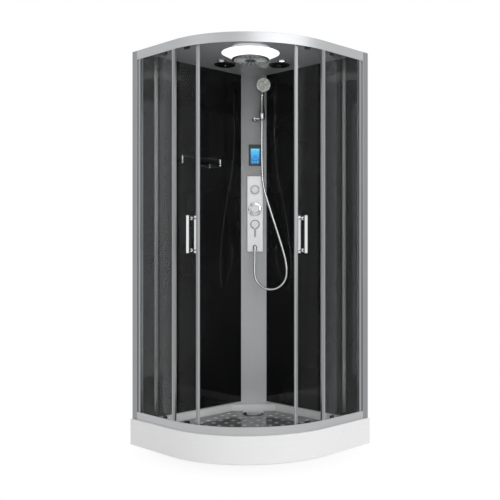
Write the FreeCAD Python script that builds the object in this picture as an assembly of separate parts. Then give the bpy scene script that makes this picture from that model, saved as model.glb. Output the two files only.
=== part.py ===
"""Quadrant steam shower cabin: tray, curved sliding doors, dark back walls and a corner control column.

Millimetres, +Z up. The origin is on the floor under the middle of the square that the cabin stands in.
The two room walls meet at the back corner (-half, +half). The front is a quarter circle between two
short straight stretches. What stands in the back corner is drawn in corner coordinates: x runs to the
right along the column's face, depth runs out of the corner along the diagonal, and z is up.
"""
import FreeCAD, Part
import math
import os

from FreeCAD import Placement, Rotation, Vector

# ---------------------------------------------------------------- footprint
size = 900.0                    # each side of the square
half = size / 2
straight = 350.0                # straight stretch beside each wall
front_radius = size - straight  # quarter circle of the tray's front
centre = Vector(-half + straight, half - straight, 0)
body_gap = 0.3                  # between pieces that move past each other
fit_gap = 0.1                   # between pieces that are screwed or pushed together

# ---------------------------------------------------------------- tray
apron_base = 3.0                # the apron stops just above the floor
rim_height = 138.0
ledge_height = 120.0            # ledge under the back walls
ledge_width = 30.0
corner_ledge = 173.0            # how far the ledge reaches out of the back corner
tray_wall = 5.0
basin_floor = 82.0
basin_front = 52.0              # rim width at the front
basin_draft = 8.0               # how far the basin's sides lean in
skirt_drop = 24.0               # turned-down edge along the room walls
stud_radius = 11.5              # anti-slip studs on the basin floor
stud_height = 1.6
stud_pitch_x = 69.0
stud_pitch_depth = 62.0
stud_edge = 34.0                # clear floor round the studs

# ---------------------------------------------------------------- drain
drain_depth = 248.0             # out of the back corner
drain_hole_radius = 44.0
flange_radius = 56.0
flange_height = 3.0
cover_radius = 64.0
cover_dome = 8.0
cover_lip = 3.0
trap_radius = 52.0
trap_bottom = 6.0
trap_wall = 3.0
waste_radius = 20.0             # 40 mm waste pipe
waste_height = 28.0
waste_free = 45.0               # spigot past the union nut
waste_nut_wall = 6.0            # union nut round the pipe
waste_nut_width = 14.0
waste_inset = 10.0              # the pipe ends inside the footprint

# ---------------------------------------------------------------- tray frame and feet
tube = 20.0
tube_wall = 1.5
frame_left = 50.0 - half
frame_middle = 0.15 * half
frame_back = half - 50.0
frame_front = 210.0 - half
frame_right = half - 70.0
foot_bolt_radius = 6.0
foot_pad_radius = 20.0
foot_pad_height = 8.0
foot_nut_radius = 11.0
foot_nut_height = 10.0

# ---------------------------------------------------------------- frame
cabin_top = 2086.0
frame_inset = 11.3              # rails and posts stand back from the tray's edge
post_width = 43.7
post_depth = 40.0
post_wall = 2.0
post_round = 3.0
bottom_rail_top = 179.7
top_rail_bottom = cabin_top - 47.6
rail_depth = 11.0
rail_wall = 1.8
groove_front = 4.2              # glazing groove, from the rail's front face
groove_width = 5.6
groove_depth = 14.0
back_lip_drop = 4.0             # the rail's inner wall stops lower than its face
track_width = 7.4               # roller track along the rail's inner wall
track_thickness = 2.5
track_rise = 27.9               # from the bottom rail's foot to the track
track_drop = 35.5               # from the cabin's top to the track
track_overrun = 20.0            # degrees that the round track carries on past the front's curve

# ---------------------------------------------------------------- fixed glass
glass = 5.0
fixed_stile_start = 344.0       # from the room wall
fixed_stile_width = 22.0
fixed_stile_front = 0.5         # behind the rail's face
fixed_stile_depth = 11.5
wall_profile_gap = 11.0         # recessed web beside the post
wall_profile_width = 15.0
wall_profile_front = 3.0
wall_profile_web = 6.0
wall_profile_depth = 11.0

# ---------------------------------------------------------------- sliding doors
door_radius = front_radius - 30.0
door_span = 48.9                # degrees from the leading edge to the trailing edge
open_left = 27.4                # degrees that each door stands open
open_right = 26.1               # degrees
meeting_gap = 0.4               # between the two closed doors
door_bottom = 171.5
door_top = cabin_top - 41.0
stile_width = 14.0
seal_width = 4.0
lead_stile_depth = 13.4
trail_stile_depth = 18.0
trail_stile_width = 17.0
stile_slot = 8.0

# ---------------------------------------------------------------- door rollers
first_roller = 8.3              # degrees behind the leading edge
second_roller = 28.0            # degrees
wheel_gap = 2.4                 # between the rail's inner wall and the wheels
wheel_radius = 10.0
wheel_width = 5.0
axle_radius = 2.5
axle_clearance = 0.05
bracket_width = 28.0
bracket_height = 16.0
bracket_wall = 3.0
bracket_plate_width = 14.0
bracket_beyond = 1.5            # clamp past the glass edge
bracket_end = 5.0               # plate past the axle

# ---------------------------------------------------------------- door handles
handle_angle = 4.8              # degrees behind the leading edge
handle_low = 1019.0
handle_length = 185.0
handle_width = 15.0
handle_thickness = 8.0
handle_standoff = 24.5          # clear finger room beside the glass
handle_bolt_inset = 14.0
handle_bolt_radius = 5.0
handle_washer = 3.0

# ---------------------------------------------------------------- back walls
wall_face = 14.0                # inner face of the dark glass, from the room wall
wall_frame_width = 25.0
wall_panel_start = 80.0         # from the back corner
wall_mid_rail = 1040.0

# ---------------------------------------------------------------- corner column
column_depth = 96.0
column_half_width = 76.0
column_sheet = 2.0
column_flange = 22.0

# ---------------------------------------------------------------- control plate and display
plate_centre = 8.0
plate_width = 96.0
plate_low = cabin_top - 1063.0
plate_above_knob = 83.0         # plate over the diverter
plate_thickness = 9.0
plate_sheet = 1.5
plate_round = 2.5
display_gap = 62.0              # between the plate and the display
display_width = 76.0
display_height = 128.0
display_proud = 5.0
display_box_depth = 24.0
screen_width = 52.0
screen_height = 92.0
screen_back = 0.8               # behind the display's frame
screen_drop = 7.0               # under the middle of the display's frame

# ---------------------------------------------------------------- knobs and valve
outlet_height = plate_low + 32.0
lever_height = outlet_height + 133.0
mixer_height = lever_height + 92.0
diverter_height = mixer_height + 116.0
plate_height = diverter_height + plate_above_knob - plate_low
display_low = plate_low + plate_height + display_gap
diverter_radius = 26.0
diverter_length = 22.0
mixer_radius = 40.0
mixer_length = 30.0
mixer_grips = 6
mixer_flat = 2.6                # how deep each grip flat is cut
lever_boss_radius = 27.0
lever_boss_length = 16.0
lever_reach = 79.0
lever_width = 10.0
spindle_radius = 5.0
spindle_clearance = 0.06
valve_radius = 20.0
valve_depth = 58.0
valve_low = lever_height - 68.0
valve_high = diverter_height + 44.0
inlet_radius = 10.48            # G 1/2 male thread
inlet_length = 15.0
inlet_collar = 13.0
inlet_reach = 24.0              # collar face from the valve's middle
inlet_rise = 18.0               # lower inlet over the valve's foot
inlet_spacing = 40.0

# ---------------------------------------------------------------- hose outlet, holder, hand shower
outlet_radius = 12.0
outlet_nut_radius = 11.0
holder_above_display = 149.0
holder_height = display_low + display_height + holder_above_display
holder_drop = 11.5              # hose top under the holder's pivot
holder_depth = 138.0
holder_stem_x = 6.0
holder_x = 50.0
holder_rose_radius = 16.0
holder_stem_radius = 9.0
holder_arm_radius = 6.5
cradle_radius = 19.0
cradle_height = 22.0
hose_radius = 7.0
ball_radius = 11.0
head_radius = 43.0
head_height = 198.0             # face centre above the holder's pivot
head_side = 10.0                # the head stands a little to the right of the handle
head_forward = 14.0
head_tilt = 12.0                # degrees
grip_low = 24.0                 # handle heights above the pivot
grip_middle = 80.0
grip_top = 140.0
collar_height = 5.0

# hose route from the hand shower to the outlet, in corner coordinates: x, depth, z
hose_route = [
    (holder_x, holder_depth, holder_height - holder_drop),
    (holder_x - 1.5, holder_depth + 3.0, holder_height - 150.0),
    (holder_x + 0.5, holder_depth + 16.0, holder_height - 310.0),
    (59.0, holder_depth + 38.0, holder_height - 416.0), (98.0, 200.0, holder_height - 540.0),
    (136.0, 219.0, outlet_height + 105.0), (171.0, 232.0, outlet_height - 6.0),
    (197.0, 240.0, outlet_height - 102.0), (197.0, 238.0, outlet_height - 193.0),
    (143.0, 224.0, outlet_height - 252.0), (64.0, 205.0, outlet_height - 252.0),
    (8.0, 182.0, outlet_height - 196.0), (plate_centre - 1.0, 158.0, outlet_height - 122.0),
    (plate_centre, 149.0, outlet_height - 62.0), (plate_centre, 149.0, outlet_height - 23.0),
]

# ---------------------------------------------------------------- roof
roof_sheet = 3.0
roof_front = 18.0               # from the tray's edge
roof_rib_height = 8.0
rain_depth = 620.0              # middle of the lamp and rain head, out of the back corner
lamp_top_radius = 155.0
lamp_bottom_radius = 98.0
lamp_drop = 29.0
lamp_wall = 3.0
rain_radius = 100.0
rain_thickness = 8.0
rain_drop = 11.0                # face under the lamp's lower edge
rain_boss_radius = 16.0
rain_boss_drop = 8.0
rain_ribs = 20
disc_radius = 61.0              # loudspeaker and fan cover
disc_x = 153.0
disc_depth = 366.0
disc_drop = 7.0
speaker_radius = 46.0
speaker_height = 38.0
fan_radius = 48.0
fan_height = 61.0
fan_wall = 2.0
fan_hub_radius = 12.0
fan_blades = 7
downlight_radius = 24.0
downlight_x = disc_x + 14.0
downlight_depth = disc_depth + disc_radius + 35.0
downlight_drop = 4.0
pipe_radius = 8.0
pipe_height = 18.0              # above the roof sheet
pipe_bend = 16.0

# ---------------------------------------------------------------- shelf
shelf_height = 1518.0
shelf_thickness = 6.0
shelf_near = 362.0              # from the back corner, along the wall
shelf_far = 651.0
shelf_reach = 122.0             # from the room wall
gallery_rise = 28.0
gallery_radius = 2.5
shelf_post_radius = 4.0
shelf_boss_radius = 6.5
shelf_post_inset = 10.0


# ================================================================ helpers
def on_arc(radius, degrees, z=0.0):
    """A point on a circle about the front's centre."""
    angle = math.radians(degrees)
    return centre + Vector(radius * math.cos(angle), radius * math.sin(angle), z)


def outward(degrees):
    angle = math.radians(degrees)
    return Vector(math.cos(angle), math.sin(angle), 0)


def face_of(edges):
    return Part.Face(Part.Wire(Part.__sortEdges__(edges)))


def polygon(points):
    return Part.Wire(Part.makePolygon(points + points[:1]))


def slab(points, bottom, top):
    """A prism on a plan outline of (x, y) points."""
    corners = [Vector(x, y, bottom) for x, y in points]
    return Part.Face(polygon(corners)).extrude(Vector(0, 0, top - bottom))


def hexagon(radius, x, y, bottom, top):
    """A hexagonal nut, radius to its corners."""
    corners = [(x + radius * math.cos(k * math.pi / 3), y + radius * math.sin(k * math.pi / 3))
               for k in range(6)]
    return slab(corners, bottom, top)


def line(start, end):
    return Part.LineSegment(start, end).toShape()


def arc(radius, first, last, z):
    middle = (first + last) / 2
    return Part.Arc(on_arc(radius, first, z), on_arc(radius, middle, z), on_arc(radius, last, z)).toShape()


def cabin_wire(front, wall, z, corner=0.0):
    """The cabin's plan, set in by front along the front and by wall along the room walls."""
    left = -half + wall
    back = half - wall
    radius = front_radius - front
    foot_left = Vector(left, centre.y - radius, z)
    foot_right = Vector(centre.x + radius, back, z)
    if corner:
        reach = corner * math.sqrt(2) - wall
        corner_left = Vector(left, half - reach, z)
        corner_right = Vector(-half + reach, back, z)
    else:
        corner_left = corner_right = Vector(left, back, z)
    edges = [line(foot_left, on_arc(radius, -90, z)), arc(radius, -90, 0, z),
             line(on_arc(radius, 0, z), foot_right), line(foot_right, corner_right)]
    if corner:
        edges.append(line(corner_right, corner_left))
    edges.append(line(corner_left, foot_left))
    return Part.Wire(edges)


def cabin_slab(front, wall, bottom, top, corner=0.0):
    return Part.Face(cabin_wire(front, wall, bottom, corner)).extrude(Vector(0, 0, top - bottom))


def front_band(near, far, bottom, top):
    """A strip along the curved front between the posts, near and far behind the rail's face."""
    outer = front_radius - frame_inset - near
    inner = front_radius - frame_inset - far
    end_x = -half + post_width
    end_y = half - post_width
    edges = [
        line(Vector(end_x, centre.y - outer, bottom), on_arc(outer, -90, bottom)),
        arc(outer, -90, 0, bottom),
        line(on_arc(outer, 0, bottom), Vector(centre.x + outer, end_y, bottom)),
        line(Vector(centre.x + outer, end_y, bottom), Vector(centre.x + inner, end_y, bottom)),
        line(Vector(centre.x + inner, end_y, bottom), on_arc(inner, 0, bottom)),
        arc(inner, 0, -90, bottom),
        line(on_arc(inner, -90, bottom), Vector(end_x, centre.y - inner, bottom)),
        line(Vector(end_x, centre.y - inner, bottom), Vector(end_x, centre.y - outer, bottom)),
    ]
    return Part.Face(Part.Wire(edges)).extrude(Vector(0, 0, top - bottom))


def sector(inner, outer, first, last, bottom, top):
    """A piece of a ring about the front's centre, between two angles in degrees."""
    edges = [
        arc(outer, first, last, bottom), line(on_arc(outer, last, bottom), on_arc(inner, last, bottom)),
        arc(inner, last, first, bottom), line(on_arc(inner, first, bottom), on_arc(outer, first, bottom)),
    ]
    return Part.Face(Part.Wire(edges)).extrude(Vector(0, 0, top - bottom))


def left_slab(points, bottom, top):
    """A prism beside the left post: points are (from the room wall, behind the rail's face)."""
    return slab([(-half + x, -half + frame_inset + y) for x, y in points], bottom, top)


def rectangle(x0, x1, y0, y1):
    return [(x0, y0), (x1, y0), (x1, y1), (x0, y1)]


def mirrored(shape):
    """The same piece on the other side of the cabin's diagonal."""
    return shape.mirror(Vector(0, 0, 0), Vector(1, 1, 0))


def turned(shape, degrees, axis=Vector(0, 0, 1), about=None):
    copy = shape.copy()
    copy.rotate(centre if about is None else about, axis, degrees)
    return copy


corner_place = Placement(Vector(-half, half, 0), Rotation(Vector(0, 0, 1), 45))


def in_corner(shape):
    """Move a shape from corner coordinates, where depth is -y, to its place."""
    copy = shape.copy()
    copy.Placement = corner_place.multiply(copy.Placement)
    return copy


def corner_point(x, depth, z):
    return corner_place.multVec(Vector(x, -depth, z))


def corner_box(x0, x1, depth0, depth1, bottom, top):
    return Part.makeBox(x1 - x0, depth1 - depth0, top - bottom, Vector(x0, -depth1, bottom))


def peg(radius, x, depth0, depth1, z):
    """A round bar that points out of the corner."""
    return Part.makeCylinder(radius, depth1 - depth0, Vector(x, -depth0, z), Vector(0, -1, 0))


def turned_knob(profile, x, depth, z):
    """Revolve (radius, out) points about a line that points out of the corner."""
    points = [Vector(x + r, -depth - out, z) for r, out in profile]
    return Part.Face(polygon(points)).revolve(Vector(x, 0, z), Vector(0, 1, 0), 360)


def lathe(profile, x, y):
    """Revolve (radius, height) points about an upright line."""
    points = [Vector(x + r, y, z) for r, z in profile]
    return Part.Face(polygon(points)).revolve(Vector(x, y, 0), Vector(0, 0, 1), 360)


def tube_along(points, radius, share=0.45):
    """A round tube on straight runs joined by tangent arcs; returns the solid, its length and radii."""
    edges = []
    radii = []
    start = points[0]
    for before, corner, after in zip(points, points[1:], points[2:]):
        into = corner - before
        out = after - corner
        half_turn = into.getAngle(out) / 2
        reach = share * min(into.Length, out.Length)
        first = corner - into.normalize() * reach
        last = corner + out.normalize() * reach
        bend = reach / math.tan(half_turn)
        inward = (first + last) * 0.5 - corner
        nearest = corner + inward.normalize() * (bend / math.cos(half_turn) - bend)
        edges.append(line(start, first))
        edges.append(Part.Arc(first, nearest, last).toShape())
        radii.append(bend)
        start = last
    edges.append(line(start, points[-1]))
    path = Part.Wire(edges)
    ring = Part.Wire(Part.makeCircle(radius, points[0], points[1] - points[0]))
    solid = path.makePipeShell([ring], True, False)
    return solid, path.Length, radii


def save(shape, node):
    shape.exportStep("parts/" + node + ".step")


# ================================================================ tray, drain and feet
def make_tray():
    floor_front = basin_front + basin_draft
    floor_wall = ledge_width + basin_draft
    floor_corner = corner_ledge + basin_draft
    body = cabin_slab(0, 0, apron_base, rim_height)
    post_back = frame_inset + post_depth
    ledge = cabin_slab(post_back, 0, ledge_height, rim_height + 1)
    ledge = ledge.cut(cabin_slab(0, floor_wall, ledge_height - 1, rim_height + 2, floor_corner))
    body = body.cut(ledge)
    rim_wire = cabin_wire(basin_front, ledge_width, rim_height, corner_ledge)
    floor_wire = cabin_wire(floor_front, floor_wall, basin_floor, floor_corner)
    body = body.cut(Part.makeLoft([floor_wire, rim_wire], True, True))
    under_floor = basin_floor - tray_wall
    skin_top = cabin_wire(basin_front - tray_wall, ledge_width - tray_wall, rim_height, corner_ledge - tray_wall)
    skin_floor = cabin_wire(floor_front - tray_wall, floor_wall - tray_wall, under_floor,
                            floor_corner - tray_wall)
    skin = Part.makeLoft([skin_floor, skin_top], True, True)
    hollow = cabin_slab(tray_wall, tray_wall, 0, ledge_height - tray_wall)
    front_hollow = cabin_slab(tray_wall, ledge_width + tray_wall, ledge_height - tray_wall - 1,
                              rim_height - tray_wall, corner_ledge)
    body = body.cut(hollow.fuse(front_hollow).cut(skin))
    # the apron is at the front only: along the room walls a short skirt is left
    skirt_bottom = ledge_height - skirt_drop
    side = Part.makeBox(tray_wall + 1, size - 2 * post_depth, skirt_bottom,
                        Vector(-half - 1, -half + 2 * post_depth, 0))
    body = body.cut(side).cut(mirrored(side))
    drain = corner_point(0, drain_depth, 0)
    body = body.cut(Part.makeCylinder(drain_hole_radius, rim_height, drain))
    # anti-slip studs in staggered rows across the diagonal
    studs = []
    rows = int(size * math.sqrt(2) / stud_pitch_depth)
    for row in range(-rows, rows):
        depth = drain_depth + row * stud_pitch_depth
        for column in range(-rows, rows):
            x = (column + 0.5 * (row % 2)) * stud_pitch_x
            spot = corner_point(x, depth, 0)
            from_drain = (spot - drain).Length
            reach = (spot - centre).Length
            on_left = spot.x + half > floor_wall + stud_edge
            on_back = half - spot.y > floor_wall + stud_edge
            past_corner = depth > floor_corner + stud_edge
            if spot.x < centre.x:
                in_front = spot.y > centre.y - front_radius + floor_front + stud_edge
            elif spot.y > centre.y:
                in_front = spot.x < centre.x + front_radius - floor_front - stud_edge
            else:
                in_front = reach < front_radius - floor_front - stud_edge
            if on_left and on_back and past_corner and in_front and from_drain > flange_radius + stud_edge:
                stud = Part.makePolygon([Vector(stud_radius * math.cos(k * math.pi / 4),
                                                stud_radius * math.sin(k * math.pi / 4), basin_floor)
                                         for k in range(9)])
                stud = Part.Face(Part.Wire(stud)).extrude(Vector(0, 0, stud_height))
                stud.translate(Vector(spot.x, spot.y, 0))
                studs.append(stud)
    return body.fuse(studs)


def make_drain():
    at = corner_point(0, drain_depth, 0)
    top = basin_floor + flange_height
    neck = drain_hole_radius - fit_gap
    flange = lathe([(neck - trap_wall, basin_floor - tray_wall), (neck, basin_floor - tray_wall),
                    (neck, basin_floor), (flange_radius, basin_floor), (flange_radius - 2, top),
                    (neck - trap_wall, top)], at.x, at.y)
    low = top + body_gap
    cover = lathe([(0, low), (cover_radius, low), (cover_radius, low + cover_lip),
                   (cover_radius * 0.72, low + cover_lip + cover_dome * 0.62),
                   (cover_radius * 0.36, low + cover_lip + cover_dome * 0.92),
                   (0, low + cover_lip + cover_dome)], at.x, at.y)
    strainer = neck - trap_wall - 1
    cup = lathe([(strainer - 2, low - 34), (strainer, low - 34), (strainer, low), (strainer - 2, low)],
                at.x, at.y)
    cover = cover.fuse(cup)
    trap_top = basin_floor - tray_wall
    shell = Part.makeCylinder(trap_radius, trap_top - trap_bottom, Vector(at.x, at.y, trap_bottom))
    reach = half + at.x - waste_inset
    way_out = Part.makeCylinder(waste_radius, reach, Vector(at.x, at.y, waste_height), Vector(-1, 0, 0))
    nut = Part.makeCylinder(waste_radius + waste_nut_wall, waste_nut_width,
                            Vector(waste_inset - half + waste_free, at.y, waste_height), Vector(1, 0, 0))
    bore = Part.makeCylinder(waste_radius - trap_wall, half, Vector(at.x, at.y, waste_height),
                             Vector(-1, 0, 0))
    inside = Part.makeCylinder(trap_radius - trap_wall, trap_top - trap_bottom,
                               Vector(at.x, at.y, trap_bottom + trap_wall))
    trap = shell.fuse(way_out).fuse(nut).cut(bore).cut(inside)
    return flange, cover, trap


def make_tray_frame():
    top = basin_floor - tray_wall
    bottom = top - tube
    runs_x = [(frame_left, frame_right, frame_back), (frame_left, frame_right, frame_middle),
              (frame_left, frame_middle, frame_front)]
    runs_y = [(frame_left, frame_front, frame_back), (frame_middle, frame_front, frame_back)]
    solid = None
    hollow = None
    for x0, x1, y in runs_x:
        bar = Part.makeBox(x1 - x0 + tube, tube, tube, Vector(x0 - tube / 2, y - tube / 2, bottom))
        bore = Part.makeBox(x1 - x0 + tube, tube - 2 * tube_wall, tube - 2 * tube_wall,
                            Vector(x0 - tube / 2, y - tube / 2 + tube_wall, bottom + tube_wall))
        solid = bar if solid is None else solid.fuse(bar)
        hollow = bore if hollow is None else hollow.fuse(bore)
    for x, y0, y1 in runs_y:
        solid = solid.fuse(Part.makeBox(tube, y1 - y0, tube, Vector(x - tube / 2, y0, bottom)))
        hollow = hollow.fuse(Part.makeBox(tube - 2 * tube_wall, y1 - y0, tube - 2 * tube_wall,
                                          Vector(x - tube / 2 + tube_wall, y0, bottom + tube_wall)))
    frame = solid.cut(hollow)
    spots = [(frame_left, frame_back), (frame_right, frame_back), (frame_left, frame_middle),
             (frame_right, frame_middle), (frame_middle, frame_middle), (frame_left, frame_front),
             (frame_middle, frame_front)]
    bolts = []
    pads = []
    for x, y in spots:
        shank = Part.makeCylinder(foot_bolt_radius, bottom - foot_pad_height, Vector(x, y, foot_pad_height))
        nut = hexagon(foot_nut_radius, x, y, bottom - foot_nut_height, bottom)
        bolts.append(shank.fuse(nut))
        pads.append(Part.makeCone(foot_pad_radius, foot_pad_radius - 6, foot_pad_height, Vector(x, y, 0)))
    return frame, Part.makeCompound(bolts), Part.makeCompound(pads)


# ================================================================ posts, rails and fixed glass
def make_post():
    front = frame_inset
    outline = rectangle(-half, -half + post_width, -half + front, -half + front + post_depth)
    body = slab(outline, rim_height, cabin_top)
    uprights = [edge for edge in body.Edges
                if edge.Length > 1000 and abs(edge.Vertexes[0].Y + half - front) < 0.01]
    body = body.makeFillet(post_round, uprights)
    inside = rectangle(-half + post_wall, -half + post_width - post_wall,
                       -half + front + post_wall, -half + front + post_depth - post_wall)
    return body.cut(slab(inside, rim_height - 1, cabin_top + 1))


def track_plate(bottom):
    """The track's edge is one circle, also where the rail beside it runs straight."""
    back = front_radius - frame_inset - rail_depth
    edge = back - track_width
    first = -90 - track_overrun
    last = track_overrun
    start = on_arc(edge, first, bottom)
    end = on_arc(edge, last, bottom)
    edges = [
        arc(edge, last, first, bottom), line(start, Vector(start.x, centre.y - back, bottom)),
        line(Vector(start.x, centre.y - back, bottom), on_arc(back, -90, bottom)),
        arc(back, -90, 0, bottom), line(on_arc(back, 0, bottom), Vector(centre.x + back, end.y, bottom)),
        line(Vector(centre.x + back, end.y, bottom), end),
    ]
    return Part.Face(Part.Wire(edges)).extrude(Vector(0, 0, track_thickness))


def make_rails():
    groove_back = groove_front + groove_width
    inner = rail_depth - rail_wall
    low_groove = bottom_rail_top - groove_depth
    bottom = front_band(0, rail_depth, rim_height, bottom_rail_top)
    bottom = bottom.cut(front_band(groove_front, groove_back, low_groove, bottom_rail_top + 1))
    bottom = bottom.cut(front_band(groove_back - 1, rail_depth + 1, bottom_rail_top - back_lip_drop,
                                   bottom_rail_top + 1))
    bottom = bottom.cut(front_band(rail_wall, inner, rim_height + rail_wall, low_groove - rail_wall))
    bottom = bottom.fuse(track_plate(rim_height + track_rise))
    high_groove = top_rail_bottom + groove_depth
    top = front_band(0, rail_depth, top_rail_bottom, cabin_top)
    top = top.cut(front_band(groove_front, groove_back, top_rail_bottom - 1, high_groove))
    top = top.cut(front_band(groove_back - 1, rail_depth + 1, top_rail_bottom - 1,
                             top_rail_bottom + back_lip_drop))
    top = top.cut(front_band(rail_wall, inner, high_groove + rail_wall, cabin_top - rail_wall))
    top = top.fuse(track_plate(cabin_top - track_drop - track_thickness))
    return top, bottom


def make_fixed_side():
    """Glass, leading stile and wall profile of the left fixed panel."""
    side_gap = (groove_width - glass) / 2
    glass_front = groove_front + side_gap
    web_end = post_width + wall_profile_gap
    glass_start = web_end + rail_wall + fit_gap
    glass_end = fixed_stile_start + stile_slot
    low = bottom_rail_top - groove_depth + fit_gap
    high = top_rail_bottom + groove_depth - fit_gap
    pane = left_slab(rectangle(glass_start, glass_end, glass_front, glass_front + glass), low, high)
    slot = left_slab(rectangle(glass_start - fit_gap, glass_end + fit_gap, groove_front,
                               groove_front + groove_width), low - 1, high + 1)
    stile = left_slab(rectangle(fixed_stile_start, fixed_stile_start + fixed_stile_width, fixed_stile_front,
                                fixed_stile_front + fixed_stile_depth), bottom_rail_top, top_rail_bottom)
    bead = left_slab(rectangle(fixed_stile_start + 12, fixed_stile_start + 14, fixed_stile_front - 1,
                               fixed_stile_front + 1.2), bottom_rail_top - 1, top_rail_bottom + 1)
    stile = stile.cut(slot).cut(bead)
    lip_end = web_end + wall_profile_width
    profile = left_slab([(post_width, wall_profile_web), (web_end, wall_profile_web),
                         (web_end, wall_profile_front), (lip_end, wall_profile_front),
                         (lip_end, wall_profile_depth), (post_width, wall_profile_depth)],
                        bottom_rail_top, top_rail_bottom)
    profile = profile.cut(slot)
    return pane, Part.makeCompound([stile, profile])


# ================================================================ sliding doors, drawn closed, then opened
def make_left_door():
    """Every piece of the left door with the door closed; angles fall from the leading edge."""
    per_mm = math.degrees(1 / door_radius)
    lead = -45 - meeting_gap / 2 * per_mm
    trail = lead - door_span
    stile_lead = lead - seal_width * per_mm
    stile_back = lead - stile_width * per_mm
    trail_front = trail + trail_stile_width * per_mm
    inner = door_radius - glass / 2
    outer = door_radius + glass / 2
    slot = stile_slot * per_mm
    lead_outer = front_radius - frame_inset - rail_depth - 3 * body_gap
    pane = sector(inner, outer, stile_back + slot, trail_front - slot, door_bottom, door_top)
    handle_at = lead - handle_angle
    bolt_heights = [handle_low + handle_bolt_inset, handle_low + handle_length - handle_bolt_inset]
    for z in bolt_heights:
        pane = pane.cut(Part.makeCylinder(handle_bolt_radius + 0.5, 4 * glass,
                                          on_arc(inner - glass, handle_at, z), outward(handle_at)))
    cut = sector(inner - fit_gap, outer + fit_gap, stile_back + slot, trail_front - slot,
                 door_bottom - 1, door_top + 1)
    lead_stile = sector(lead_outer - lead_stile_depth, lead_outer, stile_lead, stile_back,
                        door_bottom, door_top)
    trail_stile = sector(lead_outer - trail_stile_depth, lead_outer, trail_front, trail,
                         door_bottom, door_top)
    stiles = Part.makeCompound([lead_stile.cut(cut), trail_stile.cut(cut)])
    seal = sector(lead_outer - lead_stile_depth + 1, lead_outer - 1, lead, stile_lead,
                  door_bottom, door_top)
    # handle: two flat bars and the bolts that pass through the glass
    reach = glass / 2 + handle_standoff
    wide = handle_width * per_mm / 2
    bars = []
    for near in (door_radius - reach - handle_thickness, door_radius + reach):
        bar = sector(near, near + handle_thickness, handle_at + wide, handle_at - wide,
                     handle_low, handle_low + handle_length)
        bars.append(bar)
    handle = bars[0].fuse(bars[1])
    for z in bolt_heights:
        bolt = Part.makeCylinder(handle_bolt_radius, 2 * reach + handle_thickness,
                                 on_arc(door_radius - reach - handle_thickness / 2, handle_at, z),
                                 outward(handle_at))
        handle = handle.fuse(bolt)
        for start in (outer + body_gap, inner - body_gap - handle_washer):
            handle = handle.fuse(Part.makeCylinder(handle_bolt_radius + 3, handle_washer,
                                                   on_arc(start, handle_at, z), outward(handle_at)))
    # rollers: a clamp on the glass edge, a plate past the track and a wheel on the track
    top_track = cabin_top - track_drop
    low_track = rim_height + track_rise
    wheel_mid = front_radius - frame_inset - rail_depth - wheel_gap - wheel_width / 2
    brackets = []
    wheels = {}
    for edge, sign, axle_z in (("top", 1, top_track + body_gap + wheel_radius),
                               ("low", -1, low_track - body_gap - wheel_radius)):
        glass_edge = door_top if sign > 0 else door_bottom
        for name, angle in (("lead", first_roller), ("trail", second_roller)):
            at = lead - angle
            spread = bracket_width * per_mm / 2
            narrow = bracket_plate_width * per_mm / 2
            beyond = glass_edge + sign * bracket_beyond
            within = beyond - sign * bracket_height
            clamp = sector(inner - bracket_wall, outer + bracket_wall, at + spread, at - spread,
                           min(beyond, within), max(beyond, within))
            clamp = clamp.cut(sector(inner, outer, at + 2 * spread, at - 2 * spread,
                                     min(glass_edge, within - sign), max(glass_edge, within - sign)))
            plate_end = axle_z + sign * bracket_end
            plate = sector(inner - bracket_wall, inner, at + narrow, at - narrow,
                           min(beyond, plate_end), max(beyond, plate_end))
            axle_root = inner - bracket_wall
            axle = Part.makeCylinder(axle_radius, wheel_mid + wheel_width / 2 - axle_root,
                                     on_arc(axle_root, at, axle_z), outward(at))
            brackets.append(clamp.fuse(plate).fuse(axle))
            wheel = Part.makeCylinder(wheel_radius, wheel_width,
                                      on_arc(wheel_mid - wheel_width / 2, at, axle_z), outward(at))
            wheel = wheel.cut(Part.makeCylinder(axle_radius + axle_clearance, 3 * wheel_width,
                                                on_arc(wheel_mid - wheel_width, at, axle_z), outward(at)))
            wheels[edge + "_" + name] = wheel
    return pane, stiles, seal, handle, Part.makeCompound(brackets), wheels


# ================================================================ back walls and column
def make_left_wall():
    start = wall_panel_start
    end = size - frame_inset - post_depth
    pane = slab(rectangle(-half + wall_face - glass, -half + wall_face, half - end, half - start),
                ledge_height, cabin_top)
    deep = wall_face - glass
    outer = slab(rectangle(-half, -half + deep, half - end, half - start), ledge_height, cabin_top)
    w = wall_frame_width
    windows = [(ledge_height + w, wall_mid_rail - w / 2), (wall_mid_rail + w / 2, cabin_top - w)]
    for low, high in windows:
        outer = outer.cut(slab(rectangle(-half - 1, -half + deep + 1, half - end + w, half - start - w),
                               low, high))
    return pane, outer


def make_column():
    d = column_depth
    w = column_half_width
    # the flanges lie along the two dark walls, at 45 degrees to the face
    root = math.sqrt(2)
    edge = d - wall_face * root - fit_gap
    f = column_flange / root
    t = column_sheet
    outer = [(-edge, d), (edge, d), (edge - f, d - f), (edge - f - t / root, d - f + t / root),
             (edge - t * (root + 1), d - t), (-edge + t * (root + 1), d - t),
             (-edge + f + t / root, d - f + t / root), (-edge + f, d - f)]
    sheet = slab([(x, -depth) for x, depth in outer], ledge_height, cabin_top)
    opening = corner_box(plate_centre - plate_width / 2 + 14, plate_centre + plate_width / 2 - 14,
                         d - 2 * t, d + 1, valve_low - 20, valve_high)
    sheet = sheet.cut(opening)
    sheet = sheet.cut(peg(outlet_radius - 3 + fit_gap, plate_centre, d - 2 * t, d + 1, outlet_height))
    window = corner_box(plate_centre - display_width / 2 + 4, plate_centre + display_width / 2 - 4,
                        d - 2 * t, d + 1, display_low + 4, display_low + display_height - 4)
    return in_corner(sheet.cut(window))


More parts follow.
